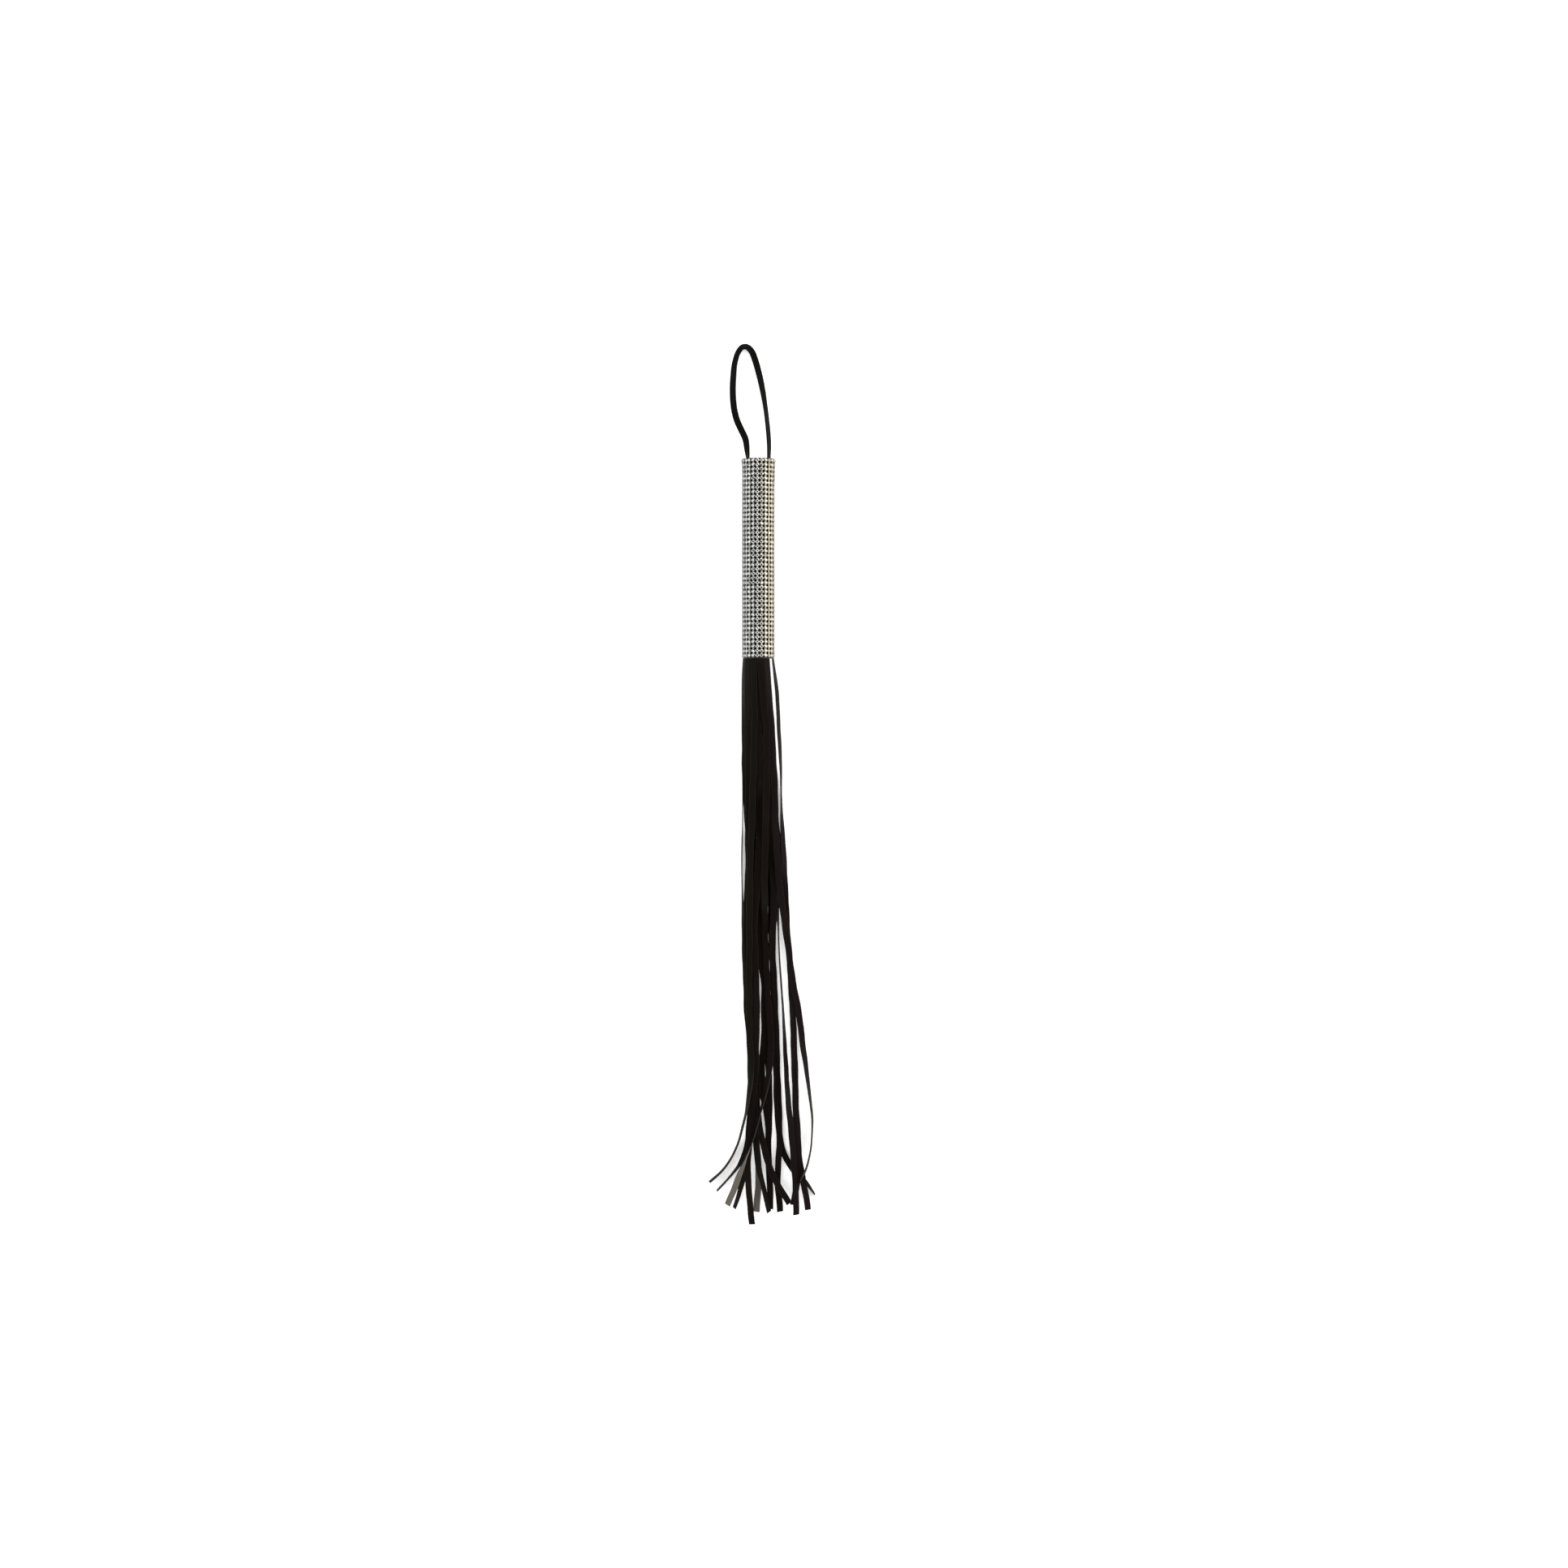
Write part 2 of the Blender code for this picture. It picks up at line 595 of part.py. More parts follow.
def build_loop(core):
    """The wrist loop, the two ends that are tucked into the handle, and their tacks."""
    route = np.array(LOOP_ROUTE)
    chord = np.concatenate([[0], np.cumsum(np.linalg.norm(np.diff(route[:, :3], axis=0), axis=1))])
    at = np.linspace(0, chord[-1], LOOP_STATIONS)
    x, beyond, z, lean = (smooth_curve(list(zip(chord, v)), at) for v in route.T)
    points = np.column_stack([x * MM, HANDLE_LENGTH + beyond * MM, z * MM])
    width, face = section_axes(np.gradient(points, axis=0), lean)
    reach = np.abs(width[:, 2]) * LOOP_WIDTH / 2 + np.abs(face[:, 2]) * LOOP_THICKNESS / 2
    points[:, 2] = np.maximum(points[:, 2], reach + FLOOR_GAP)
    hinge = highest_of_section(
        points[0] * (0, 1, 1), width[0], face[0], LOOP_WIDTH, LOOP_THICKNESS
    )
    ribbon_part(
        "wrist_loop", points, width, LOOP_WIDTH, LOOP_THICKNESS, "black_leatherette", hinge
    )
    seat = LOOP_RING + LOOP_THICKNESS / 2 + GAP
    reach = seat - TACK_DEPTH - GAP
    for side, word in ((-1, "left"), (1, "right")):
        angle = side * LOOP_END_ANGLE
        name = f"loop_end_{word}"
        mesh = bpy.data.meshes.new(name)
        form = bmesh.new()
        bmesh.ops.create_cube(
            form, size=1,
            matrix=Matrix.Diagonal((LOOP_WIDTH, LOOP_TUCK, LOOP_THICKNESS, 1)),
        )
        form.to_mesh(mesh)
        form.free()
        obj = add_part(name, mesh, "black_leatherette")
        obj.matrix_basis = radial_frame(angle, HANDLE_LENGTH + GAP - LOOP_TUCK / 2, LOOP_RING)
        y = HANDLE_LENGTH - LOOP_TACK_DISTANCE
        add_tack(f"loop_tack_{word}", angle, y, seat)
        drill(core, angle, y, TACK_SHANK_RADIUS + GAP, reach, CORE_NECK_RADIUS + GAP)
        drill(obj, angle, y, TACK_SHANK_RADIUS + GAP, CORE_NECK_RADIUS - GAP, seat)


def centre_on_origin():
    """Moves the whip so that its box stands over the origin, its lowest point on the surface."""
    bpy.context.view_layer.update()
    graph = bpy.context.evaluated_depsgraph_get()
    corners = []
    for obj in PARTS.objects:
        evaluated = obj.evaluated_get(graph)
        mesh = evaluated.to_mesh()
        corners += [obj.matrix_world @ v.co for v in mesh.vertices]
        evaluated.to_mesh_clear()
    low = Vector(min(c[k] for c in corners) for k in range(3))
    high = Vector(max(c[k] for c in corners) for k in range(3))
    WHIP.location = (-(low.x + high.x) / 2, -(low.y + high.y) / 2, -low.z)
    bpy.context.view_layer.update()


clear_scene()
PARTS = make_collection("tail_whip")
CUTTERS = make_collection("tail_whip_cutters")
WHIP = bpy.data.objects.new("whip", None)
bpy.context.scene.collection.objects.link(WHIP)

handle_core = build_handle()
build_bands(handle_core)
build_tails()
build_loop(handle_core)
centre_on_origin()
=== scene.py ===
"""Looks for a multi-tail whip with a stone-covered grip, lying on a pale floor.

The packed model is the frame. The grip's axis runs along Y, its tails leave it towards -Y and its wrist
loop towards +Y. Routes are in millimetres from the tails end of the grip, on the surface below its axis.
"""

import math

import bpy
import numpy as np
from bpy.props import FloatProperty, FloatVectorProperty, IntProperty, PointerProperty
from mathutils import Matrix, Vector


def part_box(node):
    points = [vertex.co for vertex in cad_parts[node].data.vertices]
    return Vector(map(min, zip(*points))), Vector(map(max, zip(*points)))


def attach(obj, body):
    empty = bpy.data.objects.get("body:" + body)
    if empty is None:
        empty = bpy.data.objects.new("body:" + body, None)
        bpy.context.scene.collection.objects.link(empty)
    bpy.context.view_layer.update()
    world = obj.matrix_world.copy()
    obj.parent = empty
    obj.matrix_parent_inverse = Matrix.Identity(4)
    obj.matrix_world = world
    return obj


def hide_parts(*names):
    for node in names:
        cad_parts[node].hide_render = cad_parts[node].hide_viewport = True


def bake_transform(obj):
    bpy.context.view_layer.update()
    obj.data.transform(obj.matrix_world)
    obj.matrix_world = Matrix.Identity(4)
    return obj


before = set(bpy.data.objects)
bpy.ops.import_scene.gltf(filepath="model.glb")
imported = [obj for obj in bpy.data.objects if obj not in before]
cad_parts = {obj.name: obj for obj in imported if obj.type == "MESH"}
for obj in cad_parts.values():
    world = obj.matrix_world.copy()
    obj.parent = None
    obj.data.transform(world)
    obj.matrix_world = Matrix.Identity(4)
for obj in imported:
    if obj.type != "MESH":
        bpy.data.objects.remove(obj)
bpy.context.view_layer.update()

bl_info = {
    "name": "Multi-tail whip",
    "version": (1, 0, 0),
    "blender": (4, 5, 0),
    "location": "3D View > Sidebar > Whip",
    "description": "Makes the straps, set stones and finishes of a multi-tail whip",
    "category": "Object",
}

MM = 0.001

# The grip, read from the frame
SLEEVE_LOW, SLEEVE_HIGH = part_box("stone_sleeve")
SLEEVE_RADIUS = (SLEEVE_HIGH.x - SLEEVE_LOW.x) / 2
GRIP_LENGTH = SLEEVE_HIGH.y - SLEEVE_LOW.y
GRIP_ORIGIN = np.array(
    ((SLEEVE_LOW.x + SLEEVE_HIGH.x) / 2, SLEEVE_LOW.y, (SLEEVE_LOW.z + SLEEVE_HIGH.z) / 2 - SLEEVE_RADIUS)
)

# How the frame's straps are laid
AXIS_HEIGHT = SLEEVE_RADIUS
TAIL_WIDTH = 5.0 * MM
TAIL_THICKNESS = 0.8 * MM
INNER_RING = 10.6 * MM
OUTER_RING = 12.0 * MM
BAND_END = 0.6 * MM
TAIL_ROOT_DISTANCE = BAND_END + 0.3 * MM
LOOP_WIDTH = 5.2 * MM
LOOP_THICKNESS = 1.2 * MM
TAIL_GAP = 0.36 * MM
FLOOR_GAP = 0.03 * MM
LANDING_BASE = 70 * MM
LANDING_PER_HEIGHT = 2.5
PLAN_SAMPLES = 400
TAIL_STATIONS = 36
ROOT_STATIONS = (0, 4, 10, 18, 28, 40)
TAIL_SAMPLES = 12
ACROSS_SAMPLES = 31
LOOP_STATIONS = 56
GRID_X = (-60 * MM, 70 * MM)
GRID_CELL = 0.25 * MM
GRID_ROW = 1.0 * MM
GRID_MARGIN = 2

# Finer rings along each finished strap, and the runs over which it bends, wears and is cut askew
TAIL_RINGS = 300
LOOP_RINGS = 260
LOOP_END = 0.3 * MM
CUT_REACH = 4 * MM
WEAR_REACH = 0.22 * MM
EDGE_DEPTH = 0.075 * MM
REST_HEIGHT = 0.02 * MM
STRAP_PLAY = 0.04 * MM

# A tail's faint unevenness, which grows over its first run: two waves in plan, one in its twist in
# degrees, and the steepest slope of its cut end
SETTLE_RUN = 60 * MM
PLAN_WAVE = 0.12 * MM
PLAN_WAVE_LENGTHS = (47 * MM, 23 * MM)
TWIST_WAVE = 2.0
TWIST_WAVE_LENGTH = 61 * MM
CUT_SLOPE = 0.22
TAIL_SEED = 11

# Heights over the grip's axis of the parts of a set stone
CUP_BASE = 12.5 * MM
STONE_BASE = 12.62 * MM
LINK_SHOULDER = 12.85 * MM
LINK_TOP = 12.95 * MM
RIM = 12.98 * MM
GIRDLE = 13.02 * MM
STAR = 13.22 * MM
TABLE = 13.37 * MM

# How unevenly the stones sit: degrees of tilt and of angle, distance along, and the height they tilt about
STONE_TILT = 3.6
COLUMN_WANDER = 0.25
ROW_WANDER = 0.05 * MM
PIVOT = 12.9 * MM
STONE_SEED = 5

# The links' colour, as a share of the stones' colour
LINK_TONE = 0.75

# How far the mesh stands off at the butt on each side, and over what run
FLARE_RIGHT = (0.75 * MM, 28 * MM)
FLARE_LEFT = (0.65 * MM, 9 * MM)

# The backing and the hem, as radii and distances from the butt (positive beyond it)
BACKING_OUTER = 12.62 * MM
BACKING_INNER = 12.46 * MM
BACKING_FOLD = 0.06 * MM
BACKING_BEYOND = -0.1 * MM
HEM_OUTLINE = (
    (8.35, 0.75), (8.6, 0.55), (9.4, 0.5), (10.2, 0.45), (10.7, 0.5), (10.85, 0.8), (10.85, 3),
    (8.45, 3), (8.35, 1.6),
)
ROUND_STEPS = 96

# Creases stay sharp above these angles, in degrees
STRAP_SHARP = 50
STONE_SHARP = 8
TURNED_SHARP = 40

# The point under the camera, in millimetres from the tails end of the grip
VIEW_MIDDLE = (20.6, -101.2, 0)

# Each tail, lowest first: name, ring radius, angle round the grip from the top towards +X, route as
# (distance from the grip, x), twist as (distance from the grip, degrees) and finish of its grained face.
# Twist 0 is the grained face up, 90 is on edge with that face towards +X, and 180 is that face down.
TAILS = [
    (
        "tail_01", OUTER_RING, -175,
        [(0, -1), (25, 0.5), (71, 3.5), (123, 7), (189, 9.7), (225, 10.5), (254, 11.7), (319, 14),
         (365, 15.5), (391, 18.5), (409, 26.5), (420, 37), (431, 45.5)],
        [(0, -175), (40, -120), (85, -20), (120, 0), (412, 0), (424, -70), (431, -78)],
        "brown",
    ),
    (
        "tail_02", OUTER_RING, 159,
        [(0, 4), (39, 6), (84, 10), (123, 13.5), (169, 17.5), (234, 24.5), (293, 28), (340, 29.7),
         (358, 30.2), (411, 32), (425, 30.5), (439, 28)],
        [(0, 159), (45, 100), (95, 20), (150, 0), (439, 8)],
        "plum",
    ),
    (
        "tail_03", OUTER_RING, -149,
        [(0, -6), (45, -4), (97, -1), (156, 2.5), (215, 5), (267, 6), (313, 7.5), (378, 8.5),
         (392, 7.5), (417, 9), (443, 9.5)],
        [(0, -149), (45, -95), (110, -15), (150, 0), (443, 0)],
        "brown",
    ),
    (
        "tail_04", OUTER_RING, -123,
        [(0, -10), (45, -11), (90, -10.5), (128, -8.5), (156, -8.2), (180, -8.2), (205, -9),
         (250, -8.5), (287, -8), (345, -6.2), (385, -8), (409, -10.5), (430, -15.5), (442, -19.5)],
        [(0, -123), (58, -60), (123, -10), (160, 0), (412, 0), (426, -50), (442, -62)],
        "olive",
    ),
    (
        "tail_05", OUTER_RING, -97,
        [(0, -12), (12, -12.6), (39, -13), (78, -12.8), (123, -12.6), (163, -13.5), (195, -12.8),
         (234, -11.2), (254, -10.2), (287, -8.9), (306, -7), (335, -5.8), (365, -6.6), (388, -8.5),
         (401, -12), (416, -22.5), (428, -33.5)],
        [(0, -97), (190, -85), (222, -50), (254, -12), (300, 0), (396, 0), (410, -76), (428, -81)],
        "brown",
    ),
    (
        "tail_06", OUTER_RING, 77,
        [(0, 11.7), (7, 12.6), (27, 15), (58, 16.5), (84, 18), (114, 18.5), (172, 21), (215, 23),
         (254, 26), (293, 28), (345, 29.5), (398, 32.5), (428, 37.5), (443, 40)],
        [(0, 77), (25, 58), (58, 58), (91, 72), (114, 84), (140, 50), (172, 15), (200, 0),
         (443, 0)],
        "plum",
    ),
    (
        "tail_07", INNER_RING, -72,
        [(0, -10), (40, -8), (90, -3), (140, 1), (175, 1.8), (205, 1.3), (230, 1.3), (246, 2.5),
         (262, 4.8), (280, 4.2), (300, 5), (322, 2.8), (340, 3), (355, 4), (367, 7), (385, 8),
         (404, 8.3), (428, 9.2)],
        [(0, -72), (58, -35), (110, 0), (428, 0)],
        "brown",
    ),
    (
        "tail_08", OUTER_RING, -71,
        [(0, -11.3), (25, -11.6), (78, -11), (115, -9.8), (135, -8.3), (175, -8.3), (200, -9.5),
         (247, -8.8), (300, -6.6), (345, -4), (378, -2), (398, -0.5), (417, 0), (445, -1.5)],
        [(0, -71), (30, -71), (85, -15), (115, 0), (335, 0), (390, -180), (445, -180)],
        "olive",
    ),
    (
        "tail_09", INNER_RING, 42,
        [(0, 7), (25, 8.5), (71, 10), (123, 11), (169, 12.5), (205, 15.5), (241, 17), (277, 19.5),
         (319, 21.8), (345, 23.2), (365, 25), (417, 29.5), (447, 30.5)],
        [(0, 42), (58, 20), (123, 5), (190, 30), (210, 84), (274, 80), (306, 60), (345, 42),
         (372, 12), (447, 0)],
        "plum",
    ),
    (
        "tail_10", INNER_RING, 13.5,
        [(0, 2.5), (32, 4), (97, 8), (163, 11), (189, 12.5), (231, 11.5), (280, 13.5),
         (339, 15.5), (388, 17), (417, 15.5), (445, 17.5)],
        [(0, 13.5), (58, 5), (445, 0)],
        "brown",
    ),
    (
        "tail_11", INNER_RING, -43.5,
        [(0, -7.3), (45, -7), (97, -5.5), (130, -4.1), (156, -3.9), (208, -3.5), (254, -2.5), (332, -1.5),
         (362, -0.5), (379, 1.5), (395, 5), (420, 14), (438, 25)],
        [(0, -43.5), (58, -15), (123, 0), (438, 0)],
        "brown",
    ),
    (
        "tail_12", OUTER_RING, -45,
        [(0, -8.5), (32, -8.5), (78, -8), (123, -8), (176, -7.5), (228, -7), (280, -5.5),
         (326, -4), (385, -2), (404, -0.5), (429, 5), (445, 8.5)],
        [(0, -45), (58, -15), (110, 0), (400, 0), (424, 45), (445, 50)],
        "olive",
    ),
    (
        "tail_13", INNER_RING, -15,
        [(0, -2.7), (32, -0.7), (65, 0.8), (97, 1.9), (130, 1.5), (163, 0), (195, -2),
         (218, -3.5), (241, -2.5), (264, -1.5), (319, -2), (366, -5), (411, -8.5), (436, -7),
         (455, -5)],
        [(0, -15), (45, 0), (455, 0)],
        "brown",
    ),
    (
        "tail_14", OUTER_RING, 33,
        [(0, 6.5), (19, 8), (45, 10), (97, 13), (156, 15), (182, 17), (218, 22), (254, 27),
         (285, 32.5), (308, 35.5), (345, 40.5), (372, 43.5), (385, 43), (405, 40), (420, 34)],
        [(0, 33), (45, 15), (97, 5), (287, 0), (313, 25), (332, 50), (349, 68), (362, 77),
         (420, 77)],
        "plum",
    ),
    (
        "tail_15", OUTER_RING, -19,
        [(0, -3.9), (25, -3.4), (58, -3.2), (91, -4), (123, -5), (163, -6.5), (202, -7),
         (274, -7.3), (306, -6.9), (332, -6), (351, -7.8), (377, -13), (398, -20), (412, -29.5),
         (421, -39.5)],
        [(0, -19), (32, -5), (58, 0), (319, 0), (345, -40), (362, -75), (421, -77)],
        "olive",
    ),
    (
        "tail_16", OUTER_RING, 7,
        [(0, 1.5), (19, 3), (45, 5.5), (78, 7), (110, 6.5), (150, 5.5), (189, 5), (221, 5.5),
         (277, 8), (303, 10), (318, 10), (334, 8), (361, 2.5), (387, -4.5), (407, -12.5),
         (426, -19.5), (439, -25)],
        [(0, 7), (58, 0), (313, 0), (339, -40), (361, -78), (390, -90), (402, -108),
         (412, -140), (423, -172), (439, -180)],
        "brown",
    ),
]

# The wrist loop, from its left end round to its right end: (x, distance beyond the grip,
# height, lean), with lean 90 on edge and 0 flat, the grained face always outwards.
LOOP_ROUTE = [
    (-8.45, 0.6, 17.16, 66), (-9.1, 7, 15.0, 40), (-10.4, 16, 10.6, 16), (-13.9, 24, 6.6, 10),
    (-17.4, 32, 3.6, 12), (-19.4, 40, 1.8, 16), (-20.6, 52, 1.3, 18), (-20.3, 66, 1.6, 24),
    (-18.6, 80, 2.2, 36), (-15.8, 87.5, 2.3, 36), (-12.4, 91, 2.1, 33), (-9.2, 90.9, 1.8, 26),
    (-5.6, 87.5, 1.4, 14), (-2.7, 80.5, 1.3, 12), (0.8, 68, 1.6, 22), (3.3, 56.5, 2.2, 36),
    (5.3, 44.5, 3.4, 50), (6.8, 33, 5.6, 53), (8.0, 21, 9.6, 52), (8.6, 9, 14.4, 58),
    (8.45, 0.6, 17.16, 66),
]


def colour_property(name, description, default):
    return FloatVectorProperty(
        name=name, description=description, subtype="COLOR", size=3, min=0, max=1, default=default
    )


def length_property(name, description, default):
    return FloatProperty(
        name=name, description=description, default=default, min=0, unit="LENGTH", precision=5
    )


def power_property(name, description, default):
    return FloatProperty(name=name, description=description, default=default, min=0, unit="POWER")


class WhipStrapSettings(bpy.types.PropertyGroup):
    """Sizes and colours of the tails and the wrist loop."""

    edge_round: length_property("Edge rounding", "Radius of a tail's cut edges", 0.16 * MM)
    cupping: length_property("Cupping", "How far a tail's edges curl below its middle", 0.09 * MM)
    loop_round: length_property("Loop rounding", "Radius of the wrist loop's edges", 0.42 * MM)
    grain: length_property("Grain", "Size of the pebbles in the grained face", 0.42 * MM)
    brown: colour_property("Brown black", "Colour of most tails", (0.0048, 0.0031, 0.0022))
    plum: colour_property("Plum black", "Colour of the tails with a violet cast", (0.0064, 0.0042, 0.0043))
    olive: colour_property("Olive black", "Colour of the tails with a green cast", (0.0045, 0.0036, 0.0024))
    loop: colour_property("Loop black", "Colour of the wrist loop", (0.0022, 0.0022, 0.0021))
    edge: colour_property("Cut edge", "Colour of the cut edges", (0.018, 0.015, 0.013))
    back: colour_property("Back", "Colour of the fabric on the tails' backs", (0.112, 0.096, 0.082))


class WhipStoneSettings(bpy.types.PropertyGroup):
    """Numbers, sizes and colours of the set stones on the grip."""

    columns: IntProperty(name="Columns", description="Stones round the grip", default=24, min=6)
    rows: IntProperty(name="Rows", description="Stones along the grip", default=44, min=4)
    first_column: FloatProperty(
        name="First column", description="Angle of a column from the top, in degrees", default=-3.0
    )
    cup_radius: length_property("Cup radius", "Outer radius of a stone's cup", 1.52 * MM)
    link_width: length_property("Link width", "Width of the links between the cups", 1.3 * MM)
    silver: colour_property("Silver", "Colour of the stones on the left", (0.33, 0.33, 0.32))
    # Painted warm light: the stones' colour on the right side of the grip, where the warm light falls
    warm_lit_colour: colour_property("Champagne", "Colour of the stones on the right", (0.46, 0.42, 0.335))
    # Black cloth, darkened further as painted shade for the gaps between the cups
    cloth: colour_property("Cloth", "Colour of the cloth under the stones", (0.0010, 0.0010, 0.0011))


class WhipStageSettings(bpy.types.PropertyGroup):
    """The floor, the light and the camera."""

    floor: colour_property("Floor", "Colour of the floor", (0.96, 0.96, 0.958))
    # Painted light: the floor's glow, which washes out the shadows on the floor
    shadow_fill_glow: FloatProperty(
        name="Floor glow", description="Light that comes through the floor", default=0.32, min=0
    )
    view_width: length_property("View width", "Width that the camera sees at the whip", 1.2616)
    lens: FloatProperty(name="Lens", description="Focal length in millimetres", default=100.0, min=10)
    side_light: power_property("Side light", "Power of the left, far and near lights", 21.0)
    warm_light: power_property("Warm light", "Power of the right light", 23.0)


# Curves and straps


def smooth_curve(points, at):
    """A smooth curve through points of (parameter, value), read at these parameters.

    Between two points it is the cubic whose slopes at the points are the mean slopes beside them.
    """
    x, y = np.array(points, float).T
    steps = np.diff(x)
    slopes = np.diff(y) / steps
    inner = (slopes[:-1] * steps[1:] + slopes[1:] * steps[:-1]) / (steps[:-1] + steps[1:])
    ends = np.concatenate([[slopes[0]], inner, [slopes[-1]]])
    i = np.clip(np.searchsorted(x, at, side="right") - 1, 0, len(steps) - 1)
    t = (at - x[i]) / steps[i]
    return (
        (2 * t**3 - 3 * t**2 + 1) * y[i]
        + (t**3 - 2 * t**2 + t) * steps[i] * ends[i]
        + (3 * t**2 - 2 * t**3) * y[i + 1]
        + (t**3 - t**2) * steps[i] * ends[i + 1]
    )


def run_along(points):
    """Distance along a path at each of its points: the running sum of its steps."""
    return np.concatenate([[0], np.cumsum(np.linalg.norm(np.diff(points, axis=0), axis=1))])


def unit(vectors):
    return vectors / np.linalg.norm(vectors, axis=-1, keepdims=True)


def stations_along(path, count):
    """Places along a path for its stations: close together near the root, then evenly spaced."""
    run = run_along(path)
    first = np.array(ROOT_STATIONS) * MM
    rest = np.linspace(first[-1], run[-1], count - len(first) + 1)[1:]
    return np.interp(np.concatenate([first, rest]), run, np.arange(len(path)))


def section_axes(tangent, twist):
    """A strap's width and face directions, from its direction in plan and its twist.

    The width is cos(twist) sideways minus sin(twist) upwards, and the face is at right angles to it.
    """
    flat = unit(tangent * (1, 1, 0))
    side = np.cross((0, 0, 1), flat)
    up = np.array((0, 0, 1.0))
    turn = np.radians(twist)[:, None]
    width = np.cos(turn) * side - np.sin(turn) * up
    face = np.cos(turn) * up + np.sin(turn) * side
    return width, face


def tail_plan(radius, angle, route, twist):
    """A tail's stations in plan: points at the root's height, width and face directions, twist."""
    root_x = radius * math.sin(math.radians(angle))
    root_z = AXIS_HEIGHT + radius * math.cos(math.radians(angle))
    route = [(0, root_x / MM), *route[1:]]
    distance = np.linspace(0, route[-1][0], PLAN_SAMPLES)
    x = smooth_curve(route, distance)
    path = np.column_stack([x * MM, -TAIL_ROOT_DISTANCE - distance * MM])
    at = stations_along(path, TAIL_STATIONS)
    distance = np.interp(at, np.arange(PLAN_SAMPLES), distance)
    x = smooth_curve(route, distance)
    turn = np.interp(distance, *np.array(twist, float).T)
    points = np.column_stack(
        [x * MM, -TAIL_ROOT_DISTANCE - distance * MM, np.full(len(x), root_z)]
    )
    tangent = np.gradient(points, axis=0)
    tangent[0] = (0, -1, 0)
    width, face = section_axes(tangent, turn)
    return points, width, face, turn


class Pile:
    """The height of what lies on the surface, on a grid of cells, as tails are laid on it."""

    def __init__(self, length):
        across = round((GRID_X[1] - GRID_X[0]) / GRID_CELL)
        self.height = np.zeros((across, round(length / GRID_ROW) + 4 * GRID_MARGIN))

    def cells(self, points):
        i = ((points[..., 0] - GRID_X[0]) / GRID_CELL).astype(int)
        j = (-points[..., 1] / GRID_ROW).astype(int) + GRID_MARGIN
        i = np.clip(i, 0, self.height.shape[0] - 1)
        return i, np.clip(j, 0, self.height.shape[1] - 1)

    def spread(self):
        """The heights with each cell raised to its highest neighbour."""
        out = self.height.copy()
        for axis in (0, 1):
            grown = out.copy()
            for shift in (-1, 1):
                grown = np.maximum(grown, np.roll(out, shift, axis))
            out = grown
        return out

    def lay(self, points, width, face):
        """Heights for a tail's stations, so that it lies on the pile; it then joins the pile."""
        samples = np.linspace(0, len(points) - 1, (len(points) - 1) * TAIL_SAMPLES + 1)
        index = np.arange(len(points))

        def between(values):
            return np.column_stack([np.interp(samples, index, v) for v in values.T])

        fine, fine_width, fine_face = between(points), between(width), between(face)
        across = np.linspace(-0.5, 0.5, ACROSS_SAMPLES)[None, :, None] * TAIL_WIDTH
        middle = across * fine_width[:, None, :]
        faces = [side * fine_face[:, None, :] * TAIL_THICKNESS / 2 for side in (-1, 1)]
        skin = np.stack([middle + f for f in faces], axis=2)
        at = fine[:, None, None, :] + skin
        i, j = self.cells(at)
        pile = self.spread()[i, j]
        gap = np.where(pile > 0, TAIL_GAP, FLOOR_GAP)
        needed = (pile + gap - skin[..., 2]).max(axis=(1, 2))

        natural = self.natural_height(fine)
        wanted = np.maximum(needed, natural)
        owner = np.abs(samples[:, None] - index[None, :]) <= 1
        rest = np.where(owner, wanted[:, None], -1).max(axis=0)
        padded = np.concatenate([rest[:1], rest, rest[-1:]])
        widest = np.maximum(np.maximum(padded[:-2], padded[1:-1]), padded[2:])
        padded = np.concatenate([widest[:1], widest, widest[-1:]])
        heights = (padded[:-2] + 2 * padded[1:-1] + padded[2:]) / 4
        heights[0] = points[0, 2]
        heights[1] = max(rest[1], natural[TAIL_SAMPLES])

        placed = points.copy()
        placed[:, 2] = heights
        top = np.interp(samples, index, heights)[:, None, None] + skin[..., 2]
        np.maximum.at(self.height, (i, j), top)
        return placed

    @staticmethod
    def natural_height(fine):
        """How a tail would come down from its root with nothing under it: an S curve."""
        root = fine[0, 2]
        landing = LANDING_BASE + LANDING_PER_HEIGHT * root
        t = np.clip((-fine[:, 1] - TAIL_ROOT_DISTANCE) / landing, 0, 1)
        return root * (1 - t**3 * (10 - 15 * t + 6 * t**2))


def refine(points, turn, rings):
    """Rings along a strap: its stations' points and twists, read off smooth curves at even steps."""
    run = run_along(points)
    at = np.linspace(0, run[-1], rings)
    smooth = np.column_stack([smooth_curve(list(zip(run, v)), at) for v in points.T])
    return smooth, np.interp(at, run, turn)


def strap_outline(width, thickness, rounding, cupping):
    """The outline of a strap's section, as points of (across, through), from the right edge round.

    It is a rectangle with quarter circles at its corners, whose face and back both bend down
    towards the edges by cupping times the square of the distance from the middle.
    """
    half_width, half_thickness = width / 2 - rounding, thickness / 2 - rounding
    quarter = np.radians(np.linspace(0, 90, 4))
    corners = []
    for number, (x, y) in enumerate(((1, 1), (-1, 1), (-1, -1), (1, -1))):
        turn = quarter + number * math.pi / 2
        corners.append(
            np.column_stack(
                [x * half_width + rounding * np.cos(turn), y * half_thickness + rounding * np.sin(turn)]
            )
        )
    between = np.linspace(1, -1, 10)[1:-1] * half_width
    face = np.column_stack([between, np.full(8, thickness / 2)])
    back = np.column_stack([-between, np.full(8, -thickness / 2)])
    outline = np.concatenate([corners[0], face, corners[1], corners[2], back, corners[3]])
    outline[:, 1] += cupping * (0.5 - (2 * outline[:, 0] / width) ** 2)
    return outline


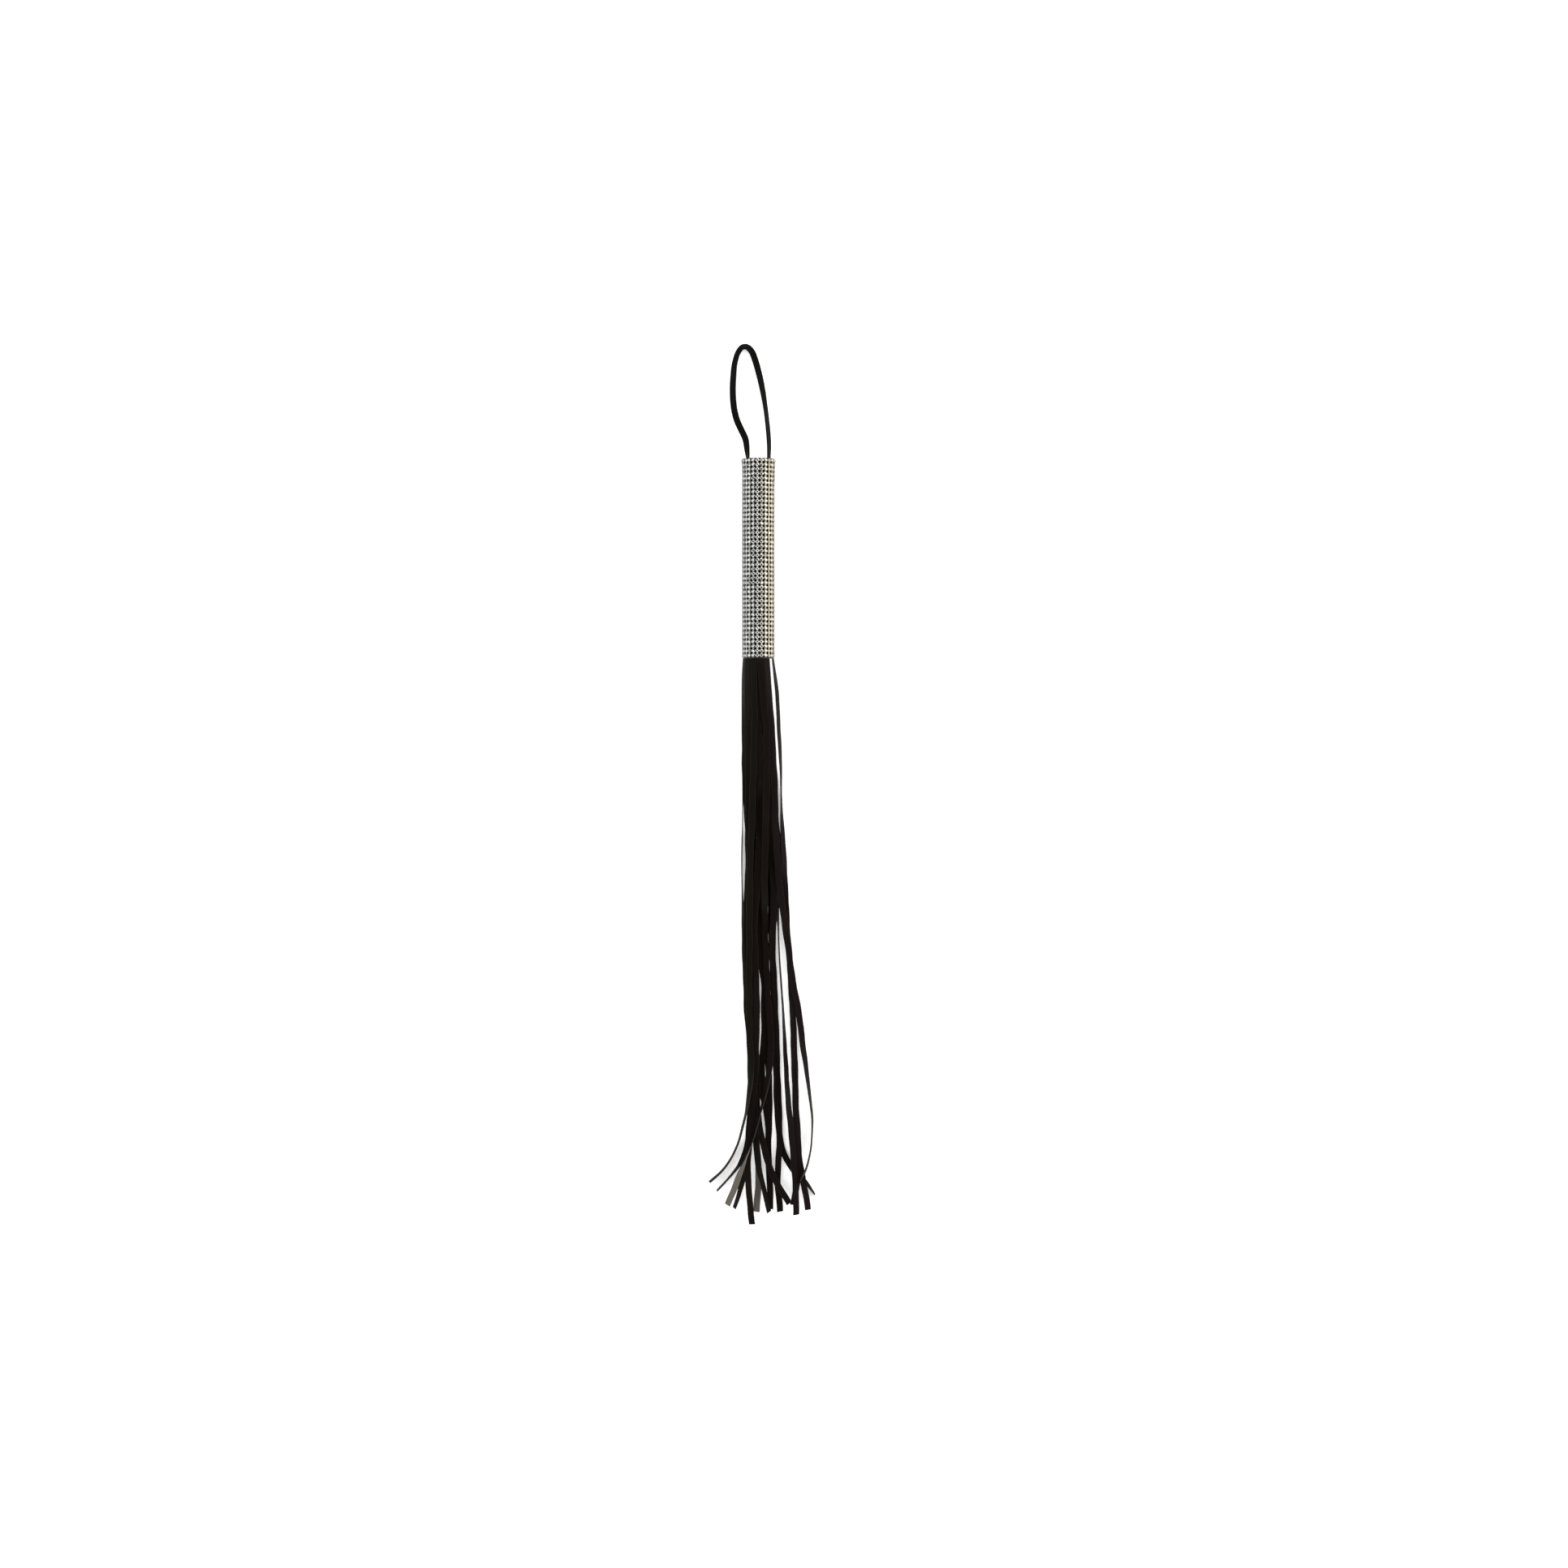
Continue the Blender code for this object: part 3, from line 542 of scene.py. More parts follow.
def strap_mesh(name, rings, width_axis, outline, half_width, cut=0.0, wave=None):
    """A strap swept along its rings, closed at both ends, with a UV in metres and a wear attribute.

    A ring's point is its middle + width axis * across + face * through, where face is the cross
    product of the path's direction and the width axis. wave shifts each ring along its width axis,
    and cut slopes the last few millimetres. Materials 0, 1 and 2 are the face, the edges and the back.
    The wear attribute is 1 at the long edges and the free end, and falls to 0 inside them.
    """
    tangent = unit(np.gradient(rings, axis=0))
    face = unit(np.cross(tangent, width_axis))
    run = run_along(rings)
    across, through = outline.T
    if wave is not None:
        rings = rings + width_axis * wave[:, None]
    grid = (
        rings[:, None]
        + width_axis[:, None] * across[None, :, None]
        + face[:, None] * through[None, :, None]
    )
    slope = np.clip(1 - (run[-1] - run) / CUT_REACH, 0, 1) * cut
    grid = grid + tangent[:, None] * (slope[:, None] * across[None, :])[..., None]
    grid[..., 2] = np.maximum(grid[..., 2], REST_HEIGHT)
    count, around = grid.shape[:2]
    i, j = np.meshgrid(np.arange(count - 1), np.arange(around), indexing="ij")
    next_j = (j + 1) % around
    quads = np.stack(
        [i * around + j, (i + 1) * around + j, (i + 1) * around + next_j, i * around + next_j], -1
    ).reshape(-1, 4)
    start = list(range(around))
    end = [(count - 1) * around + k for k in range(around)]
    mesh = bpy.data.meshes.new(name)
    mesh.from_pydata(
        grid.reshape(-1, 3).tolist(), [], quads.tolist() + [start, end[::-1]]
    )
    p = run_along(np.concatenate([outline, outline[:1]]))
    u = np.stack([run[i], run[i + 1], run[i + 1], run[i]], -1).reshape(-1)
    v = np.stack([p[j], p[j], p[j + 1], p[j + 1]], -1).reshape(-1)
    caps = np.concatenate([across, across[::-1]])
    caps_v = np.concatenate([through, through[::-1]])
    layer = mesh.uv_layers.new(name="strap")
    layer.data.foreach_set(
        "uv", np.column_stack([np.append(u, caps), np.append(v, caps_v)]).ravel().astype(np.float32)
    )
    inside = (half_width - np.abs(across))[None, :]
    to_end = (run[-1] - run)[:, None]
    wear = np.exp(-np.minimum(inside, to_end) / WEAR_REACH)
    attribute = mesh.attributes.new("wear", "FLOAT", "POINT")
    attribute.data.foreach_set("value", wear.ravel().astype(np.float32))
    middle = (outline + np.roll(outline, -1, axis=0)) / 2
    on_edge = np.abs(middle[:, 0]) > np.abs(outline[:, 0]).max() - EDGE_DEPTH
    kind = np.where(on_edge, 1, np.where(middle[:, 1] > 0, 0, 2))
    slots = np.append(np.tile(kind, count - 1), (1, 1))
    mesh.polygons.foreach_set("material_index", slots.astype(np.int32))
    finish_mesh(mesh, STRAP_SHARP)
    return mesh


def finish_mesh(mesh, sharp_angle):
    """Turns the faces outwards if the mesh is inside out, and shades it smooth with sharp creases."""
    mesh.validate()
    corners = np.zeros(len(mesh.loops), np.int32)
    mesh.loops.foreach_get("vertex_index", corners)
    places = np.zeros(len(mesh.vertices) * 3)
    mesh.vertices.foreach_get("co", places)
    places = places.reshape(-1, 3)
    mesh.calc_loop_triangles()
    triangles = np.zeros(len(mesh.loop_triangles) * 3, np.int32)
    mesh.loop_triangles.foreach_get("vertices", triangles)
    a, b, c = places[triangles.reshape(-1, 3)].transpose(1, 0, 2)
    if (a * np.cross(b, c)).sum() < 0:
        mesh.flip_normals()
    mesh.shade_smooth()
    mesh.set_sharp_from_angle(angle=math.radians(sharp_angle))
    mesh.update()


def add_piece(name, mesh, *materials):
    obj = bpy.data.objects.new(name, mesh)
    bpy.context.scene.collection.objects.link(obj)
    for material in materials:
        mesh.materials.append(material)
    return obj


# Finishes


class Finish:
    """A material with a Principled shader, and short calls that add nodes to it."""

    def __init__(self, name, colour, roughness, metallic=0.0, specular=0.5):
        self.material = bpy.data.materials.new(name)
        self.material.use_nodes = True
        self.nodes = self.material.node_tree.nodes
        self.links = self.material.node_tree.links
        self.shader = self.nodes["Principled BSDF"]
        self.shader.inputs["Base Color"].default_value = (*colour, 1)
        self.shader.inputs["Roughness"].default_value = roughness
        self.shader.inputs["Metallic"].default_value = metallic
        self.shader.inputs["Specular IOR Level"].default_value = specular

    def node(self, kind, inputs=None, **settings):
        node = self.nodes.new(kind)
        for key, value in settings.items():
            setattr(node, key, value)
        for key, value in (inputs or {}).items():
            if isinstance(value, bpy.types.NodeSocket):
                self.links.new(value, node.inputs[key])
            else:
                node.inputs[key].default_value = value
        return node

    def uv(self, scale):
        """The strap's own UV, in metres, times a scale."""
        source = self.node("ShaderNodeUVMap", uv_map="strap").outputs["UV"]
        return self.node("ShaderNodeMapping", {"Vector": source, "Scale": scale}).outputs["Vector"]

    def place(self, scale=(1, 1, 1), location=(0, 0, 0)):
        """Object coordinates from a point, times a scale."""
        source = self.node("ShaderNodeTexCoord").outputs["Object"]
        moved = self.node("ShaderNodeVectorMath", {0: source, 1: location}, operation="SUBTRACT")
        return self.node(
            "ShaderNodeMapping", {"Vector": moved.outputs[0], "Scale": scale}
        ).outputs["Vector"]

    def attribute(self, name):
        return self.node("ShaderNodeAttribute", attribute_name=name).outputs["Fac"]

    def noise(self, vector, scale, detail=3.0, roughness=0.55):
        return self.node(
            "ShaderNodeTexNoise",
            {"Vector": vector, "Scale": scale, "Detail": detail, "Roughness": roughness},
        ).outputs["Fac"]

    def cells(self, vector, scale, feature="F1"):
        return self.node(
            "ShaderNodeTexVoronoi", {"Vector": vector, "Scale": scale}, feature=feature
        ).outputs["Distance"]

    def waves(self, vector, scale, direction, distortion=0.0):
        return self.node(
            "ShaderNodeTexWave",
            {"Vector": vector, "Scale": scale, "Distortion": distortion},
            wave_type="BANDS",
            bands_direction=direction,
        ).outputs["Fac"]

    def maths(self, operation, a, b, clamp=False):
        return self.node(
            "ShaderNodeMath", {0: a, 1: b}, operation=operation, use_clamp=clamp
        ).outputs[0]

    def spread(self, value, low, high, to_low=0.0, to_high=1.0):
        """The value from low to high, moved to the range from to_low to to_high."""
        return self.node(
            "ShaderNodeMapRange",
            {"Value": value, "From Min": low, "From Max": high, "To Min": to_low, "To Max": to_high},
        ).outputs["Result"]

    def mix(self, factor, a, b):
        """A colour between two colours."""
        node = self.node("ShaderNodeMix", {"Factor": factor}, data_type="RGBA")
        for key, value in ((6, a), (7, b)):
            if isinstance(value, bpy.types.NodeSocket):
                self.links.new(value, node.inputs[key])
            else:
                node.inputs[key].default_value = (*value, 1)
        return node.outputs[2]

    def colour(self, socket):
        self.links.new(socket, self.shader.inputs["Base Color"])

    def roughness(self, socket):
        self.links.new(socket, self.shader.inputs["Roughness"])

    def bump(self, height, distance, strength=1.0):
        """Adds relief, on top of any relief that is there already."""
        inputs = {"Height": height, "Distance": distance, "Strength": strength}
        before = self.shader.inputs["Normal"].links
        if before:
            inputs["Normal"] = before[0].from_socket
        bump = self.node("ShaderNodeBump", inputs)
        self.links.new(bump.outputs["Normal"], self.shader.inputs["Normal"])


def shade(colour, factor):
    return tuple(min(1.0, c * factor) for c in colour)


def grained_face(name, colour, worn, grain, gloss, specular=0.035):
    """Leatherette's face: pebbles from cells, fine creases across, rubbed lighter along its edges."""
    finish = Finish(f"whip_{name}", colour, gloss, specular=specular)
    uv = finish.uv((1, 1, 1))
    along = finish.uv((0.12, 1, 1))
    tone = finish.noise(along, 160, 4.0)
    pebbles = finish.cells(uv, 1 / grain, "SMOOTH_F1")
    creases = finish.noise(finish.uv((1, 0.25, 1)), 900, 4.0)
    rubbed = finish.maths("MULTIPLY", finish.attribute("wear"), finish.noise(uv, 700, 3.0))
    body = finish.mix(finish.spread(tone, 0.3, 0.7), shade(colour, 0.72), shade(colour, 1.35))
    body = finish.mix(finish.spread(pebbles, 0.1, 0.7), shade(colour, 1.2), body)
    finish.colour(finish.mix(finish.spread(rubbed, 0.2, 0.75, 0, 0.8), body, worn))
    finish.roughness(finish.spread(finish.noise(uv, 420, 3.0), 0.25, 0.75, gloss - 0.07, gloss + 0.1))
    finish.bump(pebbles, 0.05 * MM, 0.55)
    finish.bump(creases, 0.03 * MM, 0.5)
    return finish.material


def cut_edge(colour):
    """A cut edge: the dark face over paler fibres, in fine layers along the strap."""
    finish = Finish("whip_cut_edge", colour, 0.82, specular=0.2)
    fibres = finish.noise(finish.uv((0.15, 1, 1)), 5200, 4.0, 0.7)
    finish.colour(finish.mix(finish.spread(fibres, 0.3, 0.72), shade(colour, 0.45), shade(colour, 1.5)))
    finish.bump(fibres, 0.04 * MM, 0.6)
    return finish.material


def fabric_back(colour):
    """The strap's back: a fine woven backing, from two sets of threads that cross."""
    finish = Finish("whip_fabric_back", colour, 0.9, specular=0.15)
    uv = finish.uv((1, 1, 1))
    threads = finish.maths(
        "MULTIPLY", finish.waves(uv, 980, "X", 0.9), finish.waves(uv, 980, "Y", 0.9)
    )
    tone = finish.noise(uv, 260, 4.0)
    worn = finish.mix(finish.spread(tone, 0.3, 0.7), shade(colour, 0.75), shade(colour, 1.2))
    finish.colour(finish.mix(finish.spread(threads, 0.0, 0.6), shade(colour, 0.75), worn))
    finish.bump(threads, 0.05 * MM, 0.6)
    finish.shader.inputs["Sheen Weight"].default_value = 0.15
    return finish.material


def woven_cloth(name, colour, thread):
    """Matt cloth on Object coordinates: threads round the grip crossed with threads along it."""
    finish = Finish(name, colour, 0.88, specular=0.04)
    place = finish.place(location=tuple(GRIP_ORIGIN))
    along = finish.waves(place, 0.5 / thread, "Y", 0.4)
    diagonal = finish.waves(place, 0.4 / thread, "DIAGONAL", 0.5)
    weave = finish.maths("MULTIPLY", along, diagonal)
    finish.colour(finish.mix(finish.spread(weave, 0, 0.7), shade(colour, 0.5), shade(colour, 1.6)))
    finish.bump(weave, 0.12 * MM, 0.7)
    return finish.material


def pressed_leather(name, colour):
    """Black leather on Object coordinates: pebbles and a few scuffs."""
    finish = Finish(name, colour, 0.5, specular=0.35)
    place = finish.place()
    pebbles = finish.cells(place, 1 / (0.6 * MM), "SMOOTH_F1")
    scuffs = finish.noise(place, 350, 5.0, 0.65)
    finish.colour(finish.mix(finish.spread(scuffs, 0.45, 0.8), colour, shade(colour, 2.6)))
    finish.roughness(finish.spread(scuffs, 0.3, 0.8, 0.42, 0.66))
    finish.bump(pebbles, 0.08 * MM, 0.6)
    return finish.material


def turned_wood():
    """A turned dowel: rings about its axis, drawn out along the grain, with fine pores."""
    light, dark = (0.50, 0.33, 0.18), (0.33, 0.19, 0.09)
    finish = Finish("whip_turned_wood", light, 0.6)
    axis = (GRIP_ORIGIN[0] + 6 * MM, GRIP_ORIGIN[1], AXIS_HEIGHT - 9 * MM)
    place = finish.place((1, 0.06, 1), axis)
    rings = finish.node(
        "ShaderNodeTexWave",
        {"Vector": place, "Scale": 110.0, "Distortion": 2.2, "Detail": 3.0},
        wave_type="RINGS",
        rings_direction="Y",
    ).outputs["Fac"]
    pores = finish.noise(finish.place((1, 0.04, 1), axis), 2600, 3.0)
    body = finish.mix(rings, light, dark)
    finish.colour(finish.mix(finish.spread(pores, 0.55, 0.8, 0, 0.6), body, shade(dark, 0.6)))
    finish.bump(pores, 0.06 * MM, 0.4)
    return finish.material


def tack_steel():
    """Plain steel with fine scratches and dull patches."""
    finish = Finish("whip_tack_steel", (0.56, 0.55, 0.53), 0.3, metallic=1.0)
    place = finish.place()
    patches = finish.noise(place, 900, 4.0)
    finish.colour(
        finish.mix(finish.spread(patches, 0.4, 0.7), (0.60, 0.59, 0.57), (0.36, 0.34, 0.32))
    )
    finish.roughness(finish.spread(patches, 0.3, 0.7, 0.22, 0.5))
    finish.bump(finish.noise(finish.place((1, 0.1, 1)), 6000, 2.0), 0.02 * MM, 0.4)
    return finish.material


def cut_stone(silver, warm_lit_colour):
    """Foiled stone: silver on the left side of the grip, turning on the right to a warm tint that is
    painted warm light, each its own tone.
    """
    finish = Finish("whip_cut_stone", silver, 0.12, metallic=0.9)
    # Painted warm light: the colour turns warmer towards the right side of the grip
    tint = finish.mix(finish.attribute("warm_light_side"), silver, warm_lit_colour)
    tone = finish.attribute("tone")
    finish.colour(finish.mix(finish.spread(tone, 0, 1, 0.0, 0.55), tint, shade(silver, 0.35)))
    finish.roughness(finish.spread(tone, 0, 1, 0.07, 0.2))
    finish.shader.inputs["Coat Weight"].default_value = 0.6
    finish.shader.inputs["Coat Roughness"].default_value = 0.04
    return finish.material


def stone_cup(name, silver, warm_lit_colour):
    """Plated cup or link: a little darker and duller than its stone, with soft dents."""
    finish = Finish(f"whip_{name}", silver, 0.28, metallic=1.0)
    # Painted warm light: warmer on the right side of the grip, as on the stones
    tint = finish.mix(finish.attribute("warm_light_side"), shade(silver, 0.8), shade(warm_lit_colour, 0.82))
    dents = finish.noise(finish.place(), 1500, 2.0)
    finish.colour(finish.mix(finish.spread(dents, 0.45, 0.75, 0, 0.7), tint, shade(silver, 0.4)))
    finish.roughness(finish.spread(dents, 0.3, 0.7, 0.2, 0.42))
    finish.bump(dents, 0.05 * MM, 0.3)
    return finish.material


# Pieces


class WHIP_OT_stage(bpy.types.Operator):
    """Makes the floor, the soft light and the camera that looks straight down"""

    bl_idname = "whip.stage"
    bl_label = "Stage"

    def execute(self, context):
        settings = context.scene.whip_stage
        self.add_floor(settings)
        self.add_world(context.scene)
        self.add_light("left_light", (-1.5, -0.1, 1.25), 1.5, settings.side_light, (0.97, 0.98, 1.0))
        self.add_light("right_light", (1.5, 0.2, 1.15), 1.3, settings.warm_light, (1.0, 0.96, 0.88))
        self.add_light("far_light", (0.2, 1.9, 1.2), 1.4, settings.side_light, (1.0, 1.0, 1.0))
        self.add_light("near_light", (-0.2, -1.9, 1.2), 1.4, settings.side_light, (1.0, 1.0, 1.0))
        self.add_camera(context.scene, settings)
        context.scene.view_settings.view_transform = "Standard"
        return {"FINISHED"}

    @staticmethod
    def add_floor(settings):
        """A flat square sheet under the whip that glows a little though it is no lamp: painted light that
        washes out the shadows on it.
        """
        half = 6.0
        mesh = bpy.data.meshes.new("floor")
        corners = [(-half, -half, 0), (half, -half, 0), (half, half, 0), (-half, half, 0)]
        mesh.from_pydata(corners, [], [(0, 1, 2, 3)])
        finish = Finish("stage_floor", tuple(settings.floor), 0.85, specular=0.1)
        finish.shader.inputs["Emission Color"].default_value = (1, 1, 1, 1)
        finish.shader.inputs["Emission Strength"].default_value = settings.shadow_fill_glow
        add_piece("floor", mesh, finish.material)

    @staticmethod
    def add_world(scene):
        """A dome that is dim overhead and bright towards the horizon."""
        world = bpy.data.worlds.new("studio")
        scene.world = world
        world.use_nodes = True
        nodes, links = world.node_tree.nodes, world.node_tree.links
        direction = nodes.new("ShaderNodeTexCoord").outputs["Object"]
        height = nodes.new("ShaderNodeSeparateXYZ")
        links.new(direction, height.inputs[0])
        ramp = nodes.new("ShaderNodeValToRGB")
        links.new(height.outputs["Z"], ramp.inputs["Fac"])
        ramp.color_ramp.elements[0].position = 0.05
        ramp.color_ramp.elements[0].color = (0.95, 0.95, 0.95, 1)
        ramp.color_ramp.elements[1].position = 0.9
        ramp.color_ramp.elements[1].color = (0.09, 0.09, 0.09, 1)
        links.new(ramp.outputs["Color"], nodes["Background"].inputs["Color"])
        nodes["Background"].inputs["Strength"].default_value = 1.5

    @staticmethod
    def add_light(name, place, size, power, colour):
        light = bpy.data.lights.new(name, "AREA")
        light.size = size
        light.energy = power
        light.color = colour
        obj = bpy.data.objects.new(name, light)
        obj.location = place
        obj.rotation_euler = (-Vector(place)).to_track_quat("-Z", "Y").to_euler()
        bpy.context.scene.collection.objects.link(obj)

    @staticmethod
    def add_camera(scene, settings):
        """A camera over a point right of the grip, so that the whip lies left of the middle."""
        data = bpy.data.cameras.new("camera")
        data.lens = settings.lens
        distance = settings.view_width * data.lens / data.sensor_width
        camera = bpy.data.objects.new("camera", data)
        middle = GRIP_ORIGIN + np.array(VIEW_MIDDLE) * MM
        camera.location = (middle[0], middle[1], distance + AXIS_HEIGHT / 2)
        scene.collection.objects.link(camera)
        scene.camera = camera


class WHIP_OT_tails(bpy.types.Operator):
    """Lays the tails on the floor from the lowest to the highest"""

    bl_idname = "whip.tails"
    bl_label = "Tails"

    def execute(self, context):
        settings = context.scene.whip_straps
        worn = shade(settings.edge, 0.9)
        faces = {
            "brown": grained_face("brown_face", tuple(settings.brown), worn, settings.grain, 0.46),
            "plum": grained_face("plum_face", tuple(settings.plum), worn, settings.grain, 0.42),
            "olive": grained_face("olive_face", tuple(settings.olive), worn, settings.grain, 0.50),
        }
        edge = cut_edge(tuple(settings.edge))
        back = fabric_back(tuple(settings.back))
        pile = Pile(max(route[-1][0] for _, _, _, route, _, _ in TAILS) * MM)
        random = np.random.default_rng(TAIL_SEED)
        for name, radius, angle, route, twist, finish in TAILS:
            points, width, face, turn = tail_plan(radius, angle, route, twist)
            points = pile.lay(points, width, face)
            self.add_tail(settings, name, points, turn, random, (faces[finish], edge, back))
        return {"FINISHED"}

    def add_tail(self, settings, name, points, turn, random, materials):
        """One tail: its rings meet the band's end at the root, and its plan has a faint wave."""
        points = points + GRIP_ORIGIN
        points[0, 1] = GRIP_ORIGIN[1] - BAND_END
        rings, turn = refine(points, turn, TAIL_RINGS)
        run = run_along(rings)
        settled = np.clip(run / SETTLE_RUN, 0, 1)
        phase = random.uniform(0, math.tau, 3)
        long_wave, short_wave = (
            np.sin(math.tau * run / length_of + start) for length_of, start in zip(PLAN_WAVE_LENGTHS, phase)
        )
        wave = settled * PLAN_WAVE * (long_wave + short_wave)
        turn = turn + settled * TWIST_WAVE * np.sin(math.tau * run / TWIST_WAVE_LENGTH + phase[2])
        tangent = np.gradient(rings, axis=0)
        tangent[0] = (0, -1, 0)
        width, _ = section_axes(tangent, turn)
        outline = strap_outline(
            TAIL_WIDTH, TAIL_THICKNESS - STRAP_PLAY, settings.edge_round, settings.cupping
        )
        cut = random.uniform(-CUT_SLOPE, CUT_SLOPE)
        mesh = strap_mesh(name, rings, width, outline, TAIL_WIDTH / 2, cut, wave)
        tail = add_piece(f"{name}_strap", mesh, *materials)
        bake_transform(tail)
        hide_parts(name)


class WHIP_OT_wrist_loop(bpy.types.Operator):
    """Makes the wrist loop, which bends at the grip's butt end"""

    bl_idname = "whip.wrist_loop"
    bl_label = "Wrist loop"

    def execute(self, context):
        settings = context.scene.whip_straps
        route = np.array(LOOP_ROUTE)
        chord = run_along(route[:, :3])
        at = np.linspace(0, chord[-1], LOOP_STATIONS)
        x, beyond, z, lean = (smooth_curve(list(zip(chord, v)), at) for v in route.T)
        points = np.column_stack([x * MM, GRIP_LENGTH + beyond * MM, z * MM])
        width, face = section_axes(np.gradient(points, axis=0), lean)
        reach = np.abs(width[:, 2]) * LOOP_WIDTH / 2 + np.abs(face[:, 2]) * LOOP_THICKNESS / 2
        points[:, 2] = np.maximum(points[:, 2], reach + FLOOR_GAP)
        points[[0, -1], 1] = GRIP_LENGTH + LOOP_END
        points = points + GRIP_ORIGIN
        rings, lean = refine(points, lean, LOOP_RINGS)
        width, _ = section_axes(np.gradient(rings, axis=0), lean)
        outline = strap_outline(LOOP_WIDTH, LOOP_THICKNESS - STRAP_PLAY, settings.loop_round, 0.0)
        mesh = strap_mesh("wrist_loop", rings, width, outline, LOOP_WIDTH / 2)
        worn = shade(settings.loop, 1.6)
        face = grained_face("loop_face", tuple(settings.loop), worn, settings.grain, 0.4)
        edge = grained_face("loop_edge", shade(settings.loop, 0.9), worn, settings.grain, 0.45)
        loop = add_piece("wrist_loop_strap", mesh, face, edge, face)
        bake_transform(loop)
        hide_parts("wrist_loop")
        return {"FINISHED"}


def ring_of(radius, count, offset=0.0):
    """Points evenly round a circle about the unit's own axis."""
    turn = math.tau * (np.arange(count) + offset) / count
    return np.column_stack([radius * np.cos(turn), radius * np.sin(turn)])


def stone_unit(settings):
    """One cut stone: a girdle of 16 points, 8 star points, and a table of 8, with a flat underside.

    Every ring is a circle at its own height over the grip's axis, and triangles join neighbours.
    """
    cup_radius = settings.cup_radius
    rings = [
        (ring_of(cup_radius * 0.90, 16), STONE_BASE),
        (ring_of(cup_radius * 0.90, 16), GIRDLE),
        (ring_of(cup_radius * 0.68, 8, 0.5), STAR),
        (ring_of(cup_radius * 0.44, 8), TABLE),
    ]
    points = np.concatenate([np.column_stack([r, np.full(len(r), h)]) for r, h in rings])
    base, girdle, star, table = 0, 16, 32, 40
    faces = [tuple(reversed(range(base, base + 16))), tuple(range(table, table + 8))]
    for k in range(16):
        n = (k + 1) % 16
        faces.append((base + k, base + n, girdle + n, girdle + k))
    for k in range(8):
        n = (k + 1) % 8
        a, b, c = girdle + 2 * k, girdle + 2 * k + 1, girdle + 2 * n
        faces += [(a, b, star + k), (b, c, star + k)]
        faces += [(c, star + n, star + k), (star + k, table + n, table + k)]
        faces.append((star + k, star + n, table + n))
    return points, faces


def cup_unit(settings):
    """One plated cup: a wall that flares outwards, a flat rim, and an inner wall down to a floor."""
    cup_radius = settings.cup_radius
    rings = [
        (ring_of(cup_radius * 0.88, 16), CUP_BASE),
        (ring_of(cup_radius, 16), RIM),
        (ring_of(cup_radius * 0.93, 16), RIM + 0.04 * MM),
        (ring_of(cup_radius * 0.915, 16), STONE_BASE - 0.05 * MM),
    ]
    points = np.concatenate([np.column_stack([r, np.full(len(r), h)]) for r, h in rings])
    faces = [tuple(reversed(range(16))), tuple(range(48, 64))]
    for low in (0, 16, 32):
        for k in range(16):
            n = (k + 1) % 16
            faces.append((low + k, low + n, low + 16 + n, low + 16 + k))
    return points, faces


def link_unit(settings, pitch, turned):
    """One link between two cups: a low bar with sloping shoulders, along the grip or turned across it.

    It is as long as the gap between two cups where their rims curve away from each other.
    """
    half_width = settings.link_width / 2
    half_length = pitch / 2 - math.sqrt(settings.cup_radius**2 - half_width**2)
    profile = [
        (-half_width, CUP_BASE), (-half_width, LINK_SHOULDER), (-half_width * 0.6, LINK_TOP),
        (half_width * 0.6, LINK_TOP), (half_width, LINK_SHOULDER), (half_width, CUP_BASE),
    ]
    count = len(profile)
    points = np.array([(a, side * half_length, r) for side in (-1, 1) for a, r in profile])
    if turned:
        points[:, :2] = points[:, 1::-1] * (-1, 1)
    faces = [tuple(range(count)), tuple(reversed(range(count, 2 * count)))]
    for k in range(count):
        n = (k + 1) % count
        faces.append((k, count + k, count + n, n))
    return points, faces


def link_along(settings):
    """A link to the next row."""
    return link_unit(settings, GRIP_LENGTH / settings.rows, False)


def link_across(settings):
    """A link to the next column, whose pitch is the circle through the links' tops over the columns."""
    return link_unit(settings, math.tau * LINK_TOP / settings.columns, True)


